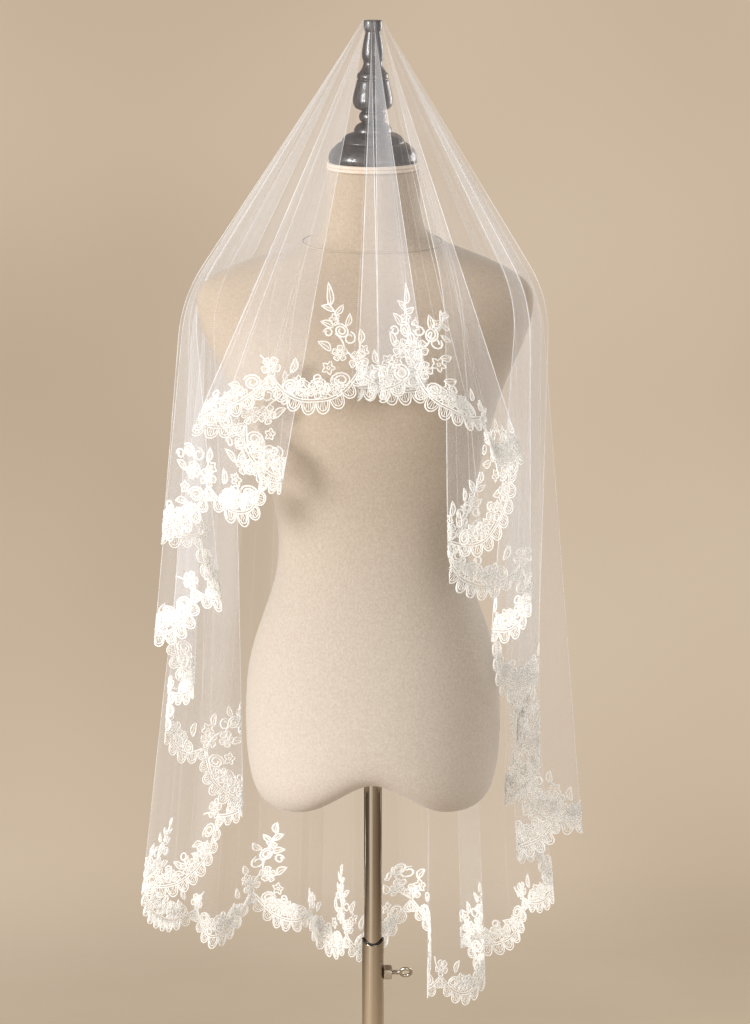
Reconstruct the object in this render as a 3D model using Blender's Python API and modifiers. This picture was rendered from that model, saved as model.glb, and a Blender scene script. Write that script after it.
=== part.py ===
"""Bridal veil with a lace edging, draped over a limbless dress form on a telescopic stand.

Metres, +Z up, the front towards -Y. The pole is the Z axis and the base stands on z = 0.
The veil is one thin wall. It hangs from the turned finial, passes over the shoulders and
falls in folds, so each row of VEIL_FOLDS is one fold line: where it crosses the shoulder
level and where it meets the hem.
"""

import math
from typing import NamedTuple

import bmesh
import bpy
import numpy as np
from mathutils import Matrix, Vector

OBJECT_NAME = "bridal_veil_on_dress_form"
CLEARANCE = 0.0003
SHARP_ANGLE = math.radians(40)

# Stand
BASE_RADIUS = 0.175
BASE_THICKNESS = 0.006
BASE_EDGE = 0.0015
COLLAR_RADIUS = 0.026
COLLAR_HEIGHT = 0.030
COLLAR_FLARE = 0.004
LOWER_TUBE_RADIUS = 0.01285
LOWER_TUBE_BORE = 0.0110
LOWER_TUBE_TOP = 0.654
MOUTH_DIP = 0.006
NOTCH_RADIUS = (LOWER_TUBE_RADIUS**2 + MOUTH_DIP**2) / (2 * MOUTH_DIP)
LIP_WIRE_RADIUS = 0.0009
LIP_STEPS = 36
UPPER_TUBE_RADIUS = 0.0105
UPPER_TUBE_BORE = 0.0090
UPPER_TUBE_BOTTOM = 0.300
UPPER_TUBE_TOP = 0.925
SOCKET_RADIUS = 0.0110

# Clamp screw, which points along +X
SCREW_HEIGHT = 0.614
NUT_ACROSS_FLATS = 0.015
NUT_LENGTH = 0.009
SCREW_RADIUS = 0.0030
SCREW_HOLE_RADIUS = 0.0034
SCREW_HEAD_START = 0.032
EYE_RADIUS = 0.0062
EYE_WIRE_RADIUS = 0.0020
EYE_TURN = math.radians(35)

# Dress form
NECK_TOP = Vector((0.0, -0.012, 1.5525))
NECK_TILT = math.radians(10)
NECK_CAP_RADIUS = 0.052
NECK_CAP_THICKNESS = 0.008
FORM_SEGMENTS = 20
FORM_ROUNDNESS = 2.2
UNDERSIDE_ARCH_RISE = 0.048
UNDERSIDE_ARCH_WIDTH = 0.045
UNDERSIDE_ARCH_FADE = 0.090

# Veil
CLOTH_THICKNESS = 0.001
SHOULDER_LEVEL = 1.400
CAP_RADIUS = 0.0122
CAP_ROUNDING = 0.0012
CAP_SIDE_DROP = 0.0025
LACE_DEPTH = 0.045
SEAM_GAP = 0.0009
LEAST_MITRE = 0.5
SHOULDER_ROUNDING = 0.045
POINTS_PER_FOLD = 3
CONE_STEPS = (0.07, 0.16, 0.27, 0.40, 0.56, 0.72)
SHOULDER_STEPS = (0.1, 0.5, 0.9)
FALL_STEPS = (0.45, 1.0)
LACE_STEPS = (0.0, 0.5, 1.0)
FOLDS_START = 0.10
FOLDS_FULL = 0.55
SMOOTH_CONE_CENTRE = Vector((-0.009, -0.003, SHOULDER_LEVEL))
SMOOTH_CONE_HALF_WIDTH = 0.205
SMOOTH_CONE_HALF_DEPTH = 0.118
BACK_BULGE = 0.026
MOST_SLANT = 2.0


class FormSection(NamedTuple):
    """One level of the dress form: its height, half width, reach to the front and back,
    sideways shift, and rise towards the back per metre of depth."""

    height: float
    half_width: float
    front: float
    back: float
    shift: float
    slope: float


FORM_SECTIONS = (
    FormSection(0.808, 0.030, 0.025, 0.030, 0.000, 0.00),
    FormSection(0.808, 0.080, 0.062, 0.070, 0.000, 0.00),
    FormSection(0.812, 0.116, 0.088, 0.098, 0.000, 0.00),
    FormSection(0.826, 0.134, 0.104, 0.114, 0.000, 0.00),
    FormSection(0.850, 0.144, 0.113, 0.121, 0.000, 0.00),
    FormSection(0.892, 0.149, 0.117, 0.124, 0.000, 0.00),
    FormSection(0.935, 0.149, 0.117, 0.124, 0.000, 0.00),
    FormSection(0.972, 0.147, 0.114, 0.120, 0.000, 0.00),
    FormSection(1.007, 0.139, 0.108, 0.112, 0.000, 0.00),
    FormSection(1.045, 0.125, 0.100, 0.101, 0.000, 0.00),
    FormSection(1.085, 0.111, 0.092, 0.089, 0.000, 0.00),
    FormSection(1.125, 0.109, 0.089, 0.083, 0.000, 0.00),
    FormSection(1.168, 0.115, 0.095, 0.085, 0.000, 0.00),
    FormSection(1.214, 0.128, 0.108, 0.089, -0.002, 0.00),
    FormSection(1.255, 0.142, 0.116, 0.093, -0.005, 0.00),
    FormSection(1.295, 0.156, 0.114, 0.094, -0.007, 0.00),
    FormSection(1.335, 0.177, 0.103, 0.093, -0.009, 0.00),
    FormSection(1.370, 0.192, 0.085, 0.088, -0.009, 0.00),
    FormSection(1.400, 0.196, 0.066, 0.076, -0.009, 0.03),
    FormSection(1.416, 0.190, 0.058, 0.067, -0.009, 0.06),
    FormSection(1.430, 0.168, 0.053, 0.060, -0.006, 0.12),
    FormSection(1.443, 0.133, 0.050, 0.056, -0.004, 0.20),
    FormSection(1.454, 0.096, 0.049, 0.052, -0.002, 0.26),
    FormSection(1.464, 0.069, 0.049, 0.049, 0.000, 0.28),
    FormSection(1.478, 0.057, 0.049, 0.045, 0.000, 0.26),
    FormSection(1.505, 0.054, 0.054, 0.040, 0.000, 0.22),
    FormSection(1.534, 0.0535, 0.059, 0.037, 0.000, math.tan(NECK_TILT)),
    FormSection(1.544, 0.0530, 0.059, 0.036, 0.000, math.tan(NECK_TILT)),
)

# Radius and height of each step of the finial, from the top down, in metres above its foot
FINIAL_OUTLINE = (
    (0.0102, 0.1570),
    (0.0100, 0.1465),
    (0.0085, 0.1455),
    (0.0092, 0.1400),
    (0.0108, 0.1320),
    (0.0122, 0.1220),
    (0.0120, 0.1160),
    (0.0106, 0.1105),
    (0.0122, 0.1050),
    (0.0152, 0.1000),
    (0.0170, 0.0980),
    (0.0178, 0.0950),
    (0.0170, 0.0920),
    (0.0180, 0.0900),
    (0.0198, 0.0830),
    (0.0216, 0.0760),
    (0.0226, 0.0690),
    (0.0218, 0.0640),
    (0.0190, 0.0600),
    (0.0134, 0.0575),
    (0.0132, 0.0560),
    (0.0150, 0.0540),
    (0.0156, 0.0505),
    (0.0148, 0.0470),
    (0.0126, 0.0445),
    (0.0150, 0.0435),
    (0.0190, 0.0405),
    (0.0212, 0.0365),
    (0.0220, 0.0330),
    (0.0285, 0.0310),
    (0.0330, 0.0275),
    (0.0360, 0.0230),
    (0.0395, 0.0205),
    (0.0440, 0.0165),
    (0.0480, 0.0120),
    (0.0503, 0.0050),
    (0.0490, 0.0000),
)


class Fold(NamedTuple):
    """One fold line of the veil: its place at shoulder level, its place at the hem, and
    how much of the cloth on each side of it is taken up by the bend, up to 0.5."""

    name: str
    shoulder_x: float
    shoulder_y: float
    hem_x: float
    hem_y: float
    hem_z: float
    softness: float


# From the front centre round by the wearer's right side, the back and the left side
VEIL_FOLDS = (
    Fold("centre pleat, upper edge", 0.004, -0.130, 0.006, -0.162, 1.277, 0.10),
    Fold("centre pleat, under edge", 0.047, -0.120, 0.066, -0.148, 1.276, 0.12),
    Fold("centre pleat, far edge", -0.014, -0.109, -0.020, -0.133, 1.276, 0.12),
    Fold("small centre pleat", 0.006, -0.118, 0.008, -0.147, 1.277, 0.15),
    Fold("right front panel", -0.041, -0.124, -0.067, -0.147, 1.273, 0.50),
    Fold("right front swag", -0.119, -0.104, -0.163, -0.120, 1.267, 0.35),
    Fold("right front edge", -0.137, -0.098, -0.205, -0.108, 1.248, 0.20),
    Fold("right inner fold 1", -0.060, -0.101, -0.099, -0.128, 1.181, 0.25),
    Fold("right shoulder front", -0.146, -0.078, -0.129, -0.112, 1.146, 0.35),
    Fold("right shoulder side", -0.186, -0.047, -0.177, -0.088, 1.148, 0.40),
    Fold("right outer fold 1", -0.219, -0.008, -0.244, -0.032, 1.118, 0.30),
    Fold("right under panel 1", -0.213, 0.015, -0.198, -0.026, 1.085, 0.35),
    Fold("right inner fold 2", -0.206, 0.038, -0.169, -0.018, 1.036, 0.30),
    Fold("right outer fold 2", -0.218, 0.044, -0.260, 0.020, 0.983, 0.30),
    Fold("right inner fold 3", -0.192, 0.056, -0.205, 0.036, 0.932, 0.40),
    Fold("right outer fold 3", -0.210, 0.066, -0.248, 0.056, 0.876, 0.35),
    Fold("right under panel 3", -0.195, 0.071, -0.221, 0.066, 0.827, 0.35),
    Fold("right inner fold 4", -0.163, 0.080, -0.152, 0.080, 0.777, 0.14),
    Fold("right low panel", -0.181, 0.089, -0.213, 0.090, 0.692, 0.35),
    Fold("right outer fold 4", -0.196, 0.097, -0.285, 0.092, 0.652, 0.12),
    Fold("back flute 1", -0.167, 0.116, -0.235, 0.190, 0.601, 0.45),
    Fold("back hollow 1", -0.139, 0.101, -0.197, 0.150, 0.596, 0.45),
    Fold("back flute 2", -0.105, 0.123, -0.149, 0.215, 0.620, 0.45),
    Fold("back hollow 2", -0.067, 0.104, -0.090, 0.162, 0.613, 0.45),
    Fold("back flute 3", -0.047, 0.124, -0.065, 0.225, 0.579, 0.45),
    Fold("back hollow 3", -0.020, 0.104, -0.029, 0.167, 0.561, 0.45),
    Fold("back flute 4", 0.020, 0.124, 0.039, 0.235, 0.600, 0.45),
    Fold("back swag 4", 0.048, 0.113, 0.074, 0.200, 0.601, 0.25),
    Fold("back hollow 4", 0.070, 0.103, 0.065, 0.158, 0.519, 0.16),
    Fold("back low panel", 0.086, 0.107, 0.118, 0.172, 0.518, 0.35),
    Fold("back flute 5", 0.102, 0.110, 0.143, 0.186, 0.547, 0.35),
    Fold("back hollow 5", 0.082, 0.120, 0.108, 0.220, 0.565, 0.35),
    Fold("back flute 6", 0.124, 0.124, 0.175, 0.230, 0.573, 0.45),
    Fold("left outer fold 6", 0.158, 0.104, 0.225, 0.150, 0.662, 0.35),
    Fold("left inner fold 6", 0.141, 0.086, 0.169, 0.110, 0.719, 0.35),
    Fold("left outer fold 5", 0.200, 0.076, 0.254, 0.066, 0.756, 0.10),
    Fold("left inner fold 5", 0.159, 0.063, 0.151, 0.045, 0.787, 0.35),
    Fold("left outer fold 4", 0.197, 0.052, 0.196, 0.020, 0.835, 0.35),
    Fold("left inner fold 4", 0.185, 0.044, 0.164, 0.000, 0.869, 0.35),
    Fold("left outer fold 3", 0.202, -0.008, 0.190, -0.022, 0.937, 0.35),
    Fold("left under panel 3", 0.174, -0.040, 0.147, -0.048, 0.939, 0.30),
    Fold("left inner fold 3", 0.160, -0.064, 0.130, -0.068, 0.990, 0.14),
    Fold("left low panel 2", 0.171, -0.066, 0.162, -0.076, 1.014, 0.30),
    Fold("left outer fold 2", 0.177, -0.070, 0.178, -0.082, 1.048, 0.30),
    Fold("left shoulder front", 0.112, -0.093, 0.130, -0.112, 1.061, 0.50),
    Fold("left inner fold 1", 0.079, -0.104, 0.081, -0.142, 1.081, 0.25),
    Fold("left breast panel", 0.099, -0.109, 0.133, -0.122, 1.116, 0.35),
    Fold("left outer fold 1", 0.107, -0.113, 0.173, -0.116, 1.206, 0.28),
    Fold("left under panel 1", 0.094, -0.118, 0.139, -0.127, 1.197, 0.30),
    Fold("left front edge", 0.084, -0.122, 0.126, -0.138, 1.235, 0.35),
    Fold("left front panel", 0.053, -0.127, 0.079, -0.156, 1.272, 0.50),
)
FRONT_FOLD = 1.5


def tilted_frame(origin: Vector) -> Matrix:
    """The frame of the neck's top, which leans forwards."""
    return Matrix.Translation(origin) @ Matrix.Rotation(NECK_TILT, 4, "X")


def remove_all_objects() -> None:
    """Empty the scene."""
    for old in list(bpy.data.objects):
        bpy.data.objects.remove(old, do_unlink=True)


def new_collection(name: str) -> bpy.types.Collection:
    """A new collection in the scene."""
    collection = bpy.data.collections.new(name)
    bpy.context.scene.collection.children.link(collection)
    return collection


def principled(name: str, colour: tuple, roughness: float, metallic: float = 0.0) -> bpy.types.Material:
    """A material with this base colour, roughness and metallic value."""
    material = bpy.data.materials.new(name)
    material.use_nodes = True
    shader = material.node_tree.nodes["Principled BSDF"]
    shader.inputs["Base Color"].default_value = (*colour, 1.0)
    shader.inputs["Roughness"].default_value = roughness
    shader.inputs["Metallic"].default_value = metallic
    material.diffuse_color = (*colour, 1.0)
    return material


def mesh_object(name, points, faces, material, collection) -> bpy.types.Object:
    """An object made from points and faces."""
    mesh = bpy.data.meshes.new(name)
    mesh.from_pydata([tuple(point) for point in points], [], faces)
    mesh.validate()
    mesh.shade_smooth()
    mesh.set_sharp_from_angle(angle=SHARP_ANGLE)
    mesh.materials.append(material)
    made = bpy.data.objects.new(name, mesh)
    collection.objects.link(made)
    return made


def turned(name, outline, material, collection, steps=48, on_axis=True) -> bpy.types.Object:
    """A body turned about Z from an outline of (radius, height) that runs down its outer side.

    Args:
        on_axis: whether the outline is closed to the axis; otherwise it closes on itself.
    """
    points = [(radius, 0.0, height) for radius, height in outline]
    if on_axis:
        points = [(0.0, 0.0, outline[0][1]), *points, (0.0, 0.0, outline[-1][1])]
    edges = [(i, i + 1) for i in range(len(points) - 1)]
    if not on_axis:
        edges.append((len(points) - 1, 0))
    mesh = bpy.data.meshes.new(name)
    mesh.from_pydata(points, edges, [])
    mesh.materials.append(material)
    made = bpy.data.objects.new(name, mesh)
    collection.objects.link(made)
    screw = made.modifiers.new("Turn", "SCREW")
    screw.steps = steps
    screw.render_steps = steps
    screw.use_merge_vertices = True
    screw.merge_threshold = 0.00001
    screw.use_normal_calculate = on_axis
    return made


def tube_outline(outer: float, bore: float, bottom: float, top: float) -> tuple:
    """The outline of a straight tube, down its outer side and up its bore."""
    return ((outer, top), (outer, bottom), (bore, bottom), (bore, top))


def cylinder(name, radius, length, collection, vertices=32) -> bpy.types.Object:
    """A closed cylinder about Z, centred on the origin."""
    mesh = bpy.data.meshes.new(name)
    shape = bmesh.new()
    bmesh.ops.create_cone(
        shape, cap_ends=True, segments=vertices, radius1=radius, radius2=radius, depth=length
    )
    shape.to_mesh(mesh)
    shape.free()
    mesh.shade_smooth()
    mesh.set_sharp_from_angle(angle=SHARP_ANGLE)
    made = bpy.data.objects.new(name, mesh)
    collection.objects.link(made)
    return made


def cut(target: bpy.types.Object, cutter: bpy.types.Object) -> None:
    """Subtract a helper from a part and hide the helper."""
    cutter.hide_render = True
    cutter.display_type = "WIRE"
    boolean = target.modifiers.new(f"Cut {cutter.name}", "BOOLEAN")
    boolean.operation = "DIFFERENCE"
    boolean.solver = "EXACT"
    boolean.object = cutter


def build_base(parts, steel) -> None:
    """The round plate that stands on the floor, and the collar that holds the tube."""
    turned(
        "base_plate",
        (
            (BASE_RADIUS - BASE_EDGE, BASE_THICKNESS),
            (BASE_RADIUS - 0.3 * BASE_EDGE, BASE_THICKNESS - 0.3 * BASE_EDGE),
            (BASE_RADIUS, BASE_THICKNESS - BASE_EDGE),
            (BASE_RADIUS, BASE_EDGE / 2),
            (BASE_RADIUS - BASE_EDGE / 2, 0.0),
        ),
        steel,
        parts,
        steps=60,
    )
    bore = LOWER_TUBE_RADIUS + CLEARANCE
    foot = BASE_THICKNESS + CLEARANCE
    turned(
        "foot_collar",
        (
            (COLLAR_RADIUS - COLLAR_FLARE, foot + COLLAR_HEIGHT),
            (COLLAR_RADIUS, foot + COLLAR_HEIGHT - COLLAR_FLARE),
            (COLLAR_RADIUS + COLLAR_FLARE, foot),
            (bore, foot),
            (bore, foot + COLLAR_HEIGHT),
        ),
        steel,
        parts,
        on_axis=False,
    )


def mouth_height(across: float) -> float:
    """Height of the lower tube's notched mouth at a distance across from its middle."""
    return LOWER_TUBE_TOP - MOUTH_DIP + NOTCH_RADIUS - math.sqrt(NOTCH_RADIUS**2 - across**2)


def build_tubes(parts, cutters, steel, black) -> None:
    """The lower tube with its notched mouth and lip, and the upper tube that slides in it."""
    foot = BASE_THICKNESS + CLEARANCE
    lower = turned(
        "lower_tube",
        tube_outline(LOWER_TUBE_RADIUS, LOWER_TUBE_BORE, foot, LOWER_TUBE_TOP),
        steel,
        parts,
        on_axis=False,
    )
    notch = cylinder("mouth_notch", NOTCH_RADIUS, 4 * LOWER_TUBE_RADIUS, cutters, 64)
    notch.rotation_euler = (math.pi / 2, 0, 0)
    notch.location = (0, 0, LOWER_TUBE_TOP - MOUTH_DIP + NOTCH_RADIUS)
    cut(lower, notch)
    hole = cylinder("screw_hole", SCREW_HOLE_RADIUS, 2 * LOWER_TUBE_RADIUS, cutters, 24)
    hole.rotation_euler = (0, math.pi / 2, 0)
    hole.location = (LOWER_TUBE_RADIUS + CLEARANCE, 0, SCREW_HEIGHT)
    cut(lower, hole)

    ring_radius = (LOWER_TUBE_RADIUS + LOWER_TUBE_BORE) / 2
    curve = bpy.data.curves.new("mouth_lip", "CURVE")
    curve.dimensions = "3D"
    curve.bevel_depth = LIP_WIRE_RADIUS
    curve.bevel_resolution = 1
    path = curve.splines.new("POLY")
    path.points.add(LIP_STEPS - 1)
    path.use_cyclic_u = True
    for i in range(LIP_STEPS):
        angle = math.tau * i / LIP_STEPS
        x = ring_radius * math.sin(angle)
        rise = mouth_height(x) + LIP_WIRE_RADIUS + 2 * CLEARANCE
        path.points[i].co = (x, -ring_radius * math.cos(angle), rise, 1.0)
    curve.materials.append(black)
    lip = bpy.data.objects.new("mouth_lip", curve)
    parts.objects.link(lip)

    turned(
        "upper_tube",
        tube_outline(UPPER_TUBE_RADIUS, UPPER_TUBE_BORE, UPPER_TUBE_BOTTOM, UPPER_TUBE_TOP),
        steel,
        parts,
        on_axis=False,
    )


def build_clamp(parts, cutters, zinc) -> None:
    """The nut on the lower tube and the eye screw that clamps the upper one."""
    start = LOWER_TUBE_RADIUS + CLEARANCE
    nut = cylinder("clamp_nut", NUT_ACROSS_FLATS / math.sqrt(3), NUT_LENGTH, parts, 6)
    nut.data.materials.append(zinc)
    nut.rotation_euler = (0, math.pi / 2, 0)
    nut.location = (start + NUT_LENGTH / 2, 0, SCREW_HEIGHT)
    bore = cylinder("nut_bore", SCREW_HOLE_RADIUS, 2 * NUT_LENGTH, cutters, 24)
    bore.rotation_euler = (0, math.pi / 2, 0)
    bore.location = nut.location
    cut(nut, bore)

    tip = UPPER_TUBE_RADIUS + CLEARANCE
    length = SCREW_HEAD_START - tip
    screw = cylinder("clamp_screw", SCREW_RADIUS, length, parts, 24)
    screw.data.materials.append(zinc)
    screw.rotation_euler = (0, math.pi / 2, 0)
    screw.location = (tip + length / 2, 0, SCREW_HEIGHT)
    bpy.ops.mesh.primitive_torus_add(
        major_radius=EYE_RADIUS,
        minor_radius=EYE_WIRE_RADIUS,
        major_segments=24,
        minor_segments=8,
        location=(SCREW_HEAD_START + EYE_RADIUS - 0.001, 0, SCREW_HEIGHT),
        rotation=(EYE_TURN, 0, 0),
    )
    eye = bpy.context.object
    eye.name = "screw_eye"
    for owner in list(eye.users_collection):
        owner.objects.unlink(eye)
    cutters.objects.link(eye)
    eye.hide_render = True
    eye.display_type = "WIRE"
    join = screw.modifiers.new("Eye", "BOOLEAN")
    join.operation = "UNION"
    join.solver = "EXACT"
    join.object = eye


def form_ring(section: FormSection) -> list:
    """The points of one level of the dress form, from its front round by its left."""
    ring = []
    for i in range(FORM_SEGMENTS):
        angle = math.tau * i / FORM_SEGMENTS
        across = math.sin(angle)
        along = -math.cos(angle)
        reach = (abs(across) ** FORM_ROUNDNESS + abs(along) ** FORM_ROUNDNESS) ** (-1 / FORM_ROUNDNESS)
        x = section.half_width * across * reach
        depth = section.front if along < 0 else section.back
        y = depth * along * reach
        arch = UNDERSIDE_ARCH_RISE * math.exp(-((x / UNDERSIDE_ARCH_WIDTH) ** 2))
        fade = max(0.0, 1 - (section.height - FORM_SECTIONS[0].height) / UNDERSIDE_ARCH_FADE)
        z = section.height + section.slope * (y - NECK_TOP.y) + arch * fade
        ring.append((x + section.shift, y, z))
    return ring


def build_form(parts, cutters, linen) -> None:
    """The padded body of the dress form, with the socket that stands on the upper tube."""
    points = []
    faces = []
    for section in FORM_SECTIONS:
        points.extend(form_ring(section))
    count = FORM_SEGMENTS
    for level in range(len(FORM_SECTIONS) - 1):
        for i in range(count):
            after = (i + 1) % count
            low = level * count
            high = low + count
            faces.append((low + i, low + after, high + after, high + i))
    faces.append(tuple(range(count - 1, -1, -1)))
    last = (len(FORM_SECTIONS) - 1) * count
    faces.append(tuple(last + i for i in range(count)))
    torso = mesh_object("dress_form", points, faces, linen, parts)
    crease = torso.data.attributes.new("crease_edge", "FLOAT", "EDGE")
    for edge in torso.data.edges:
        if min(edge.vertices) >= last:
            crease.data[edge.index].value = 1.0
    smooth = torso.modifiers.new("Padding", "SUBSURF")
    smooth.levels = 1
    smooth.render_levels = 1
    bottom = FORM_SECTIONS[0].height - SOCKET_RADIUS
    depth = UPPER_TUBE_TOP + CLEARANCE - bottom
    socket = cylinder("pole_socket", SOCKET_RADIUS, depth, cutters, 32)
    socket.location = (0, 0, bottom + depth / 2)
    cut(torso, socket)


def build_neck(parts, linen, wood) -> None:
    """The piped cap on the neck and the turned finial on it."""
    cap = turned(
        "neck_cap",
        (
            (NECK_CAP_RADIUS - 0.003, 0.0),
            (NECK_CAP_RADIUS - 0.0008, -0.0015),
            (NECK_CAP_RADIUS, -0.004),
            (NECK_CAP_RADIUS - 0.0008, -0.0065),
            (NECK_CAP_RADIUS - 0.003, -NECK_CAP_THICKNESS),
        ),
        linen,
        parts,
    )
    cap.matrix_world = tilted_frame(NECK_TOP)
    finial = turned("finial", FINIAL_OUTLINE, wood, parts, steps=32)
    finial.matrix_world = tilted_frame(NECK_TOP) @ Matrix.Translation((0, 0, CLEARANCE))


def rounded(corners: np.ndarray, softness: np.ndarray) -> np.ndarray:
    """A closed line of corners with each corner rounded into the cloth beside it.

    Args:
        corners: the corner points, one a row.
        softness: the share of each side taken by the corner's bend, up to 0.5.
    """
    share = softness[:, None]
    start = corners + share * (np.roll(corners, 1, axis=0) - corners)
    end = corners + share * (np.roll(corners, -1, axis=0) - corners)
    line = []
    for step in range(POINTS_PER_FOLD):
        t = (step + 0.5) / POINTS_PER_FOLD
        line.append((1 - t) ** 2 * start + 2 * t * (1 - t) * corners + t**2 * end)
    return np.stack(line, axis=1).reshape(-1, 3)


def smooth_step(value: float, low: float, high: float) -> float:
    """0 below low, 1 above high, with an even slope between them."""
    t = min(1.0, max(0.0, (value - low) / (high - low)))
    return t * t * (3 - 2 * t)


class Drape:
    """The veil's middle surface, as rows of points from the cap down to the hem."""

    def __init__(self) -> None:
        softness = np.array([fold.softness for fold in VEIL_FOLDS])
        shoulder = np.array([(f.shoulder_x, f.shoulder_y, SHOULDER_LEVEL) for f in VEIL_FOLDS])
        hem = np.array([(f.hem_x, f.hem_y, f.hem_z) for f in VEIL_FOLDS])
        self.shoulder = rounded(shoulder, softness)
        self.hem = rounded(hem, softness)
        count = len(self.hem)
        place = (np.arange(count) + 0.5) / POINTS_PER_FOLD - 0.5
        self.angle = math.tau * (place - FRONT_FOLD) / len(VEIL_FOLDS)
        top = tilted_frame(NECK_TOP) @ Matrix.Translation((0, 0, FINIAL_OUTLINE[0][1]))
        self.top = np.array(top @ Matrix.Translation((0, 0, 2 * CLEARANCE + CLOTH_THICKNESS / 2)))
        self.back = ((1 - np.cos(self.angle)) / 2) ** 2
        self.fall = np.linalg.norm(self.hem - self.shoulder, axis=1)[:, None]
        depth = LACE_DEPTH * self.hem_slant()
        depth = (np.roll(depth, 1) + depth + np.roll(depth, -1)) / 3
        self.lace_top = 1 - depth / self.fall

    def hem_slant(self) -> np.ndarray:
        """How much longer a width square to the hem is when measured down each fold."""
        down = (self.hem - self.shoulder) / self.fall
        along = np.roll(self.hem, -1, axis=0) - np.roll(self.hem, 1, axis=0)
        square = along - (along * down).sum(axis=1)[:, None] * down
        ratio = np.linalg.norm(along, axis=1) / np.linalg.norm(square, axis=1)
        return np.minimum(ratio, MOST_SLANT)[:, None]

    def off_seam(self) -> np.ndarray:
        """The step up from the lace that leaves an even gap square to the seam."""
        seam = self.falling(self.lace_top)
        along = np.roll(seam, -1, axis=0) - seam
        outward = np.cross(along, self.hem - self.shoulder)
        after = np.cross(along, outward)
        after /= np.linalg.norm(after, axis=1, keepdims=True)
        before = np.roll(after, 1, axis=0)
        mitre = 1 + (after * before).sum(axis=1, keepdims=True)
        return SEAM_GAP * (after + before) / np.maximum(mitre, LEAST_MITRE)

    def rim(self, radius: float, height: float) -> np.ndarray:
        """A ring round the finial's top, square to it."""
        ring = np.stack(
            [
                -radius * np.sin(self.angle),
                -radius * np.cos(self.angle),
                np.full(len(self.angle), height),
                np.ones(len(self.angle)),
            ],
            axis=1,
        )
        return (ring @ self.top.T)[:, :3]

    def smooth_cone(self) -> np.ndarray:
        """The shoulder level without folds, which the folds grow out of."""
        return np.stack(
            [
                SMOOTH_CONE_CENTRE.x - SMOOTH_CONE_HALF_WIDTH * np.sin(self.angle),
                SMOOTH_CONE_CENTRE.y - SMOOTH_CONE_HALF_DEPTH * np.cos(self.angle),
                np.full(len(self.angle), SMOOTH_CONE_CENTRE.z),
            ],
            axis=1,
        )

    def cone(self, share: float) -> np.ndarray:
        """A row between the cap and the shoulder level, at this share of the way."""
        folded = smooth_step(share, FOLDS_START, FOLDS_FULL)
        target = (1 - folded) * self.smooth_cone() + folded * self.shoulder
        row = (1 - share) * self.rim(CAP_RADIUS, -CAP_SIDE_DROP) + share * target
        row[:, 1] += BACK_BULGE * 4 * share * (1 - share) * self.back
        return row

    def falling(self, share: np.ndarray) -> np.ndarray:
        """A row between the shoulder level and the hem, at this share of each fold's way."""
        return self.shoulder + share * (self.hem - self.shoulder)

    def over_shoulder(self, t: float) -> np.ndarray:
        """A row of the bend over the shoulder, from its start at 0 to its end at 1."""
        rim = self.rim(CAP_RADIUS, -CAP_SIDE_DROP)
        length = np.linalg.norm(rim - self.shoulder, axis=1)[:, None]
        start = self.shoulder + SHOULDER_ROUNDING / length * (rim - self.shoulder)
        start[:, 1] += BACK_BULGE * 4 * SHOULDER_ROUNDING / length[:, 0] * self.back
        end = self.falling(SHOULDER_ROUNDING / self.fall)
        return (1 - t) ** 2 * start + 2 * t * (1 - t) * self.shoulder + t**2 * end

    def tulle_rows(self) -> list:
        """All rows of the tulle, from the cap down to the lace."""
        rows = [self.rim(CAP_RADIUS - CAP_ROUNDING, 0.0), self.rim(CAP_RADIUS, -CAP_SIDE_DROP)]
        rows += [self.cone(share) for share in CONE_STEPS]
        rows += [self.over_shoulder(t) for t in SHOULDER_STEPS]
        start = SHOULDER_ROUNDING / self.fall
        rows += [self.falling(start + t * (self.lace_top - start)) for t in FALL_STEPS]
        rows[-1] += self.off_seam()
        return rows

    def lace_rows(self) -> list:
        """All rows of the lace, from the tulle down to the hem."""
        return [self.falling(self.lace_top + t * (1 - self.lace_top)) for t in LACE_STEPS]


def wall_normals(grid: np.ndarray) -> np.ndarray:
    """The outward direction at each point of a grid of rows that close on themselves."""
    along = np.roll(grid, -1, axis=1) - np.roll(grid, 1, axis=1)
    down = np.empty_like(grid)
    down[1:-1] = grid[2:] - grid[:-2]
    down[0] = grid[1] - grid[0]
    down[-1] = grid[-1] - grid[-2]
    normal = np.cross(along, down)
    return normal / np.linalg.norm(normal, axis=2, keepdims=True)


def cloth_wall(name, grid, normals, cap_centre, material, collection) -> bpy.types.Object:
    """A closed wall of the cloth's thickness about rows of points that close on themselves.

    Both sides split each square along the same diagonal, so a twisted panel keeps its thickness.

    Args:
        cap_centre: the point that closes the first row, or None to leave it open.
    """
    half = CLOTH_THICKNESS / 2 * normals
    levels, count = grid.shape[:2]
    points = list((grid + half).reshape(-1, 3)) + list((grid - half).reshape(-1, 3))
    inner = levels * count
    faces = []
    for level in range(levels - 1):
        for i in range(count):
            after = (i + 1) % count
            low = level * count
            high = low + count
            halves = (
                (low + i, low + after, high + after),
                (low + i, high + after, high + i),
            )
            for one, two, three in halves:
                faces.append((one, two, three))
                faces.append((inner + three, inner + two, inner + one))
    last = (levels - 1) * count
    for i in range(count):
        after = (i + 1) % count
        faces.append((last + i, last + after, inner + last + after, inner + last + i))
        if cap_centre is None:
            faces.append((after, i, inner + i, inner + after))
    if cap_centre is not None:
        up = np.array([0, -math.sin(NECK_TILT), math.cos(NECK_TILT)]) * CLOTH_THICKNESS / 2
        points += [cap_centre + up, cap_centre - up]
        for i in range(count):
            after = (i + 1) % count
            faces.append((after, i, len(points) - 2))
            faces.append((inner + i, inner + after, len(points) - 1))
    return mesh_object(name, points, faces, material, collection)


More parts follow.
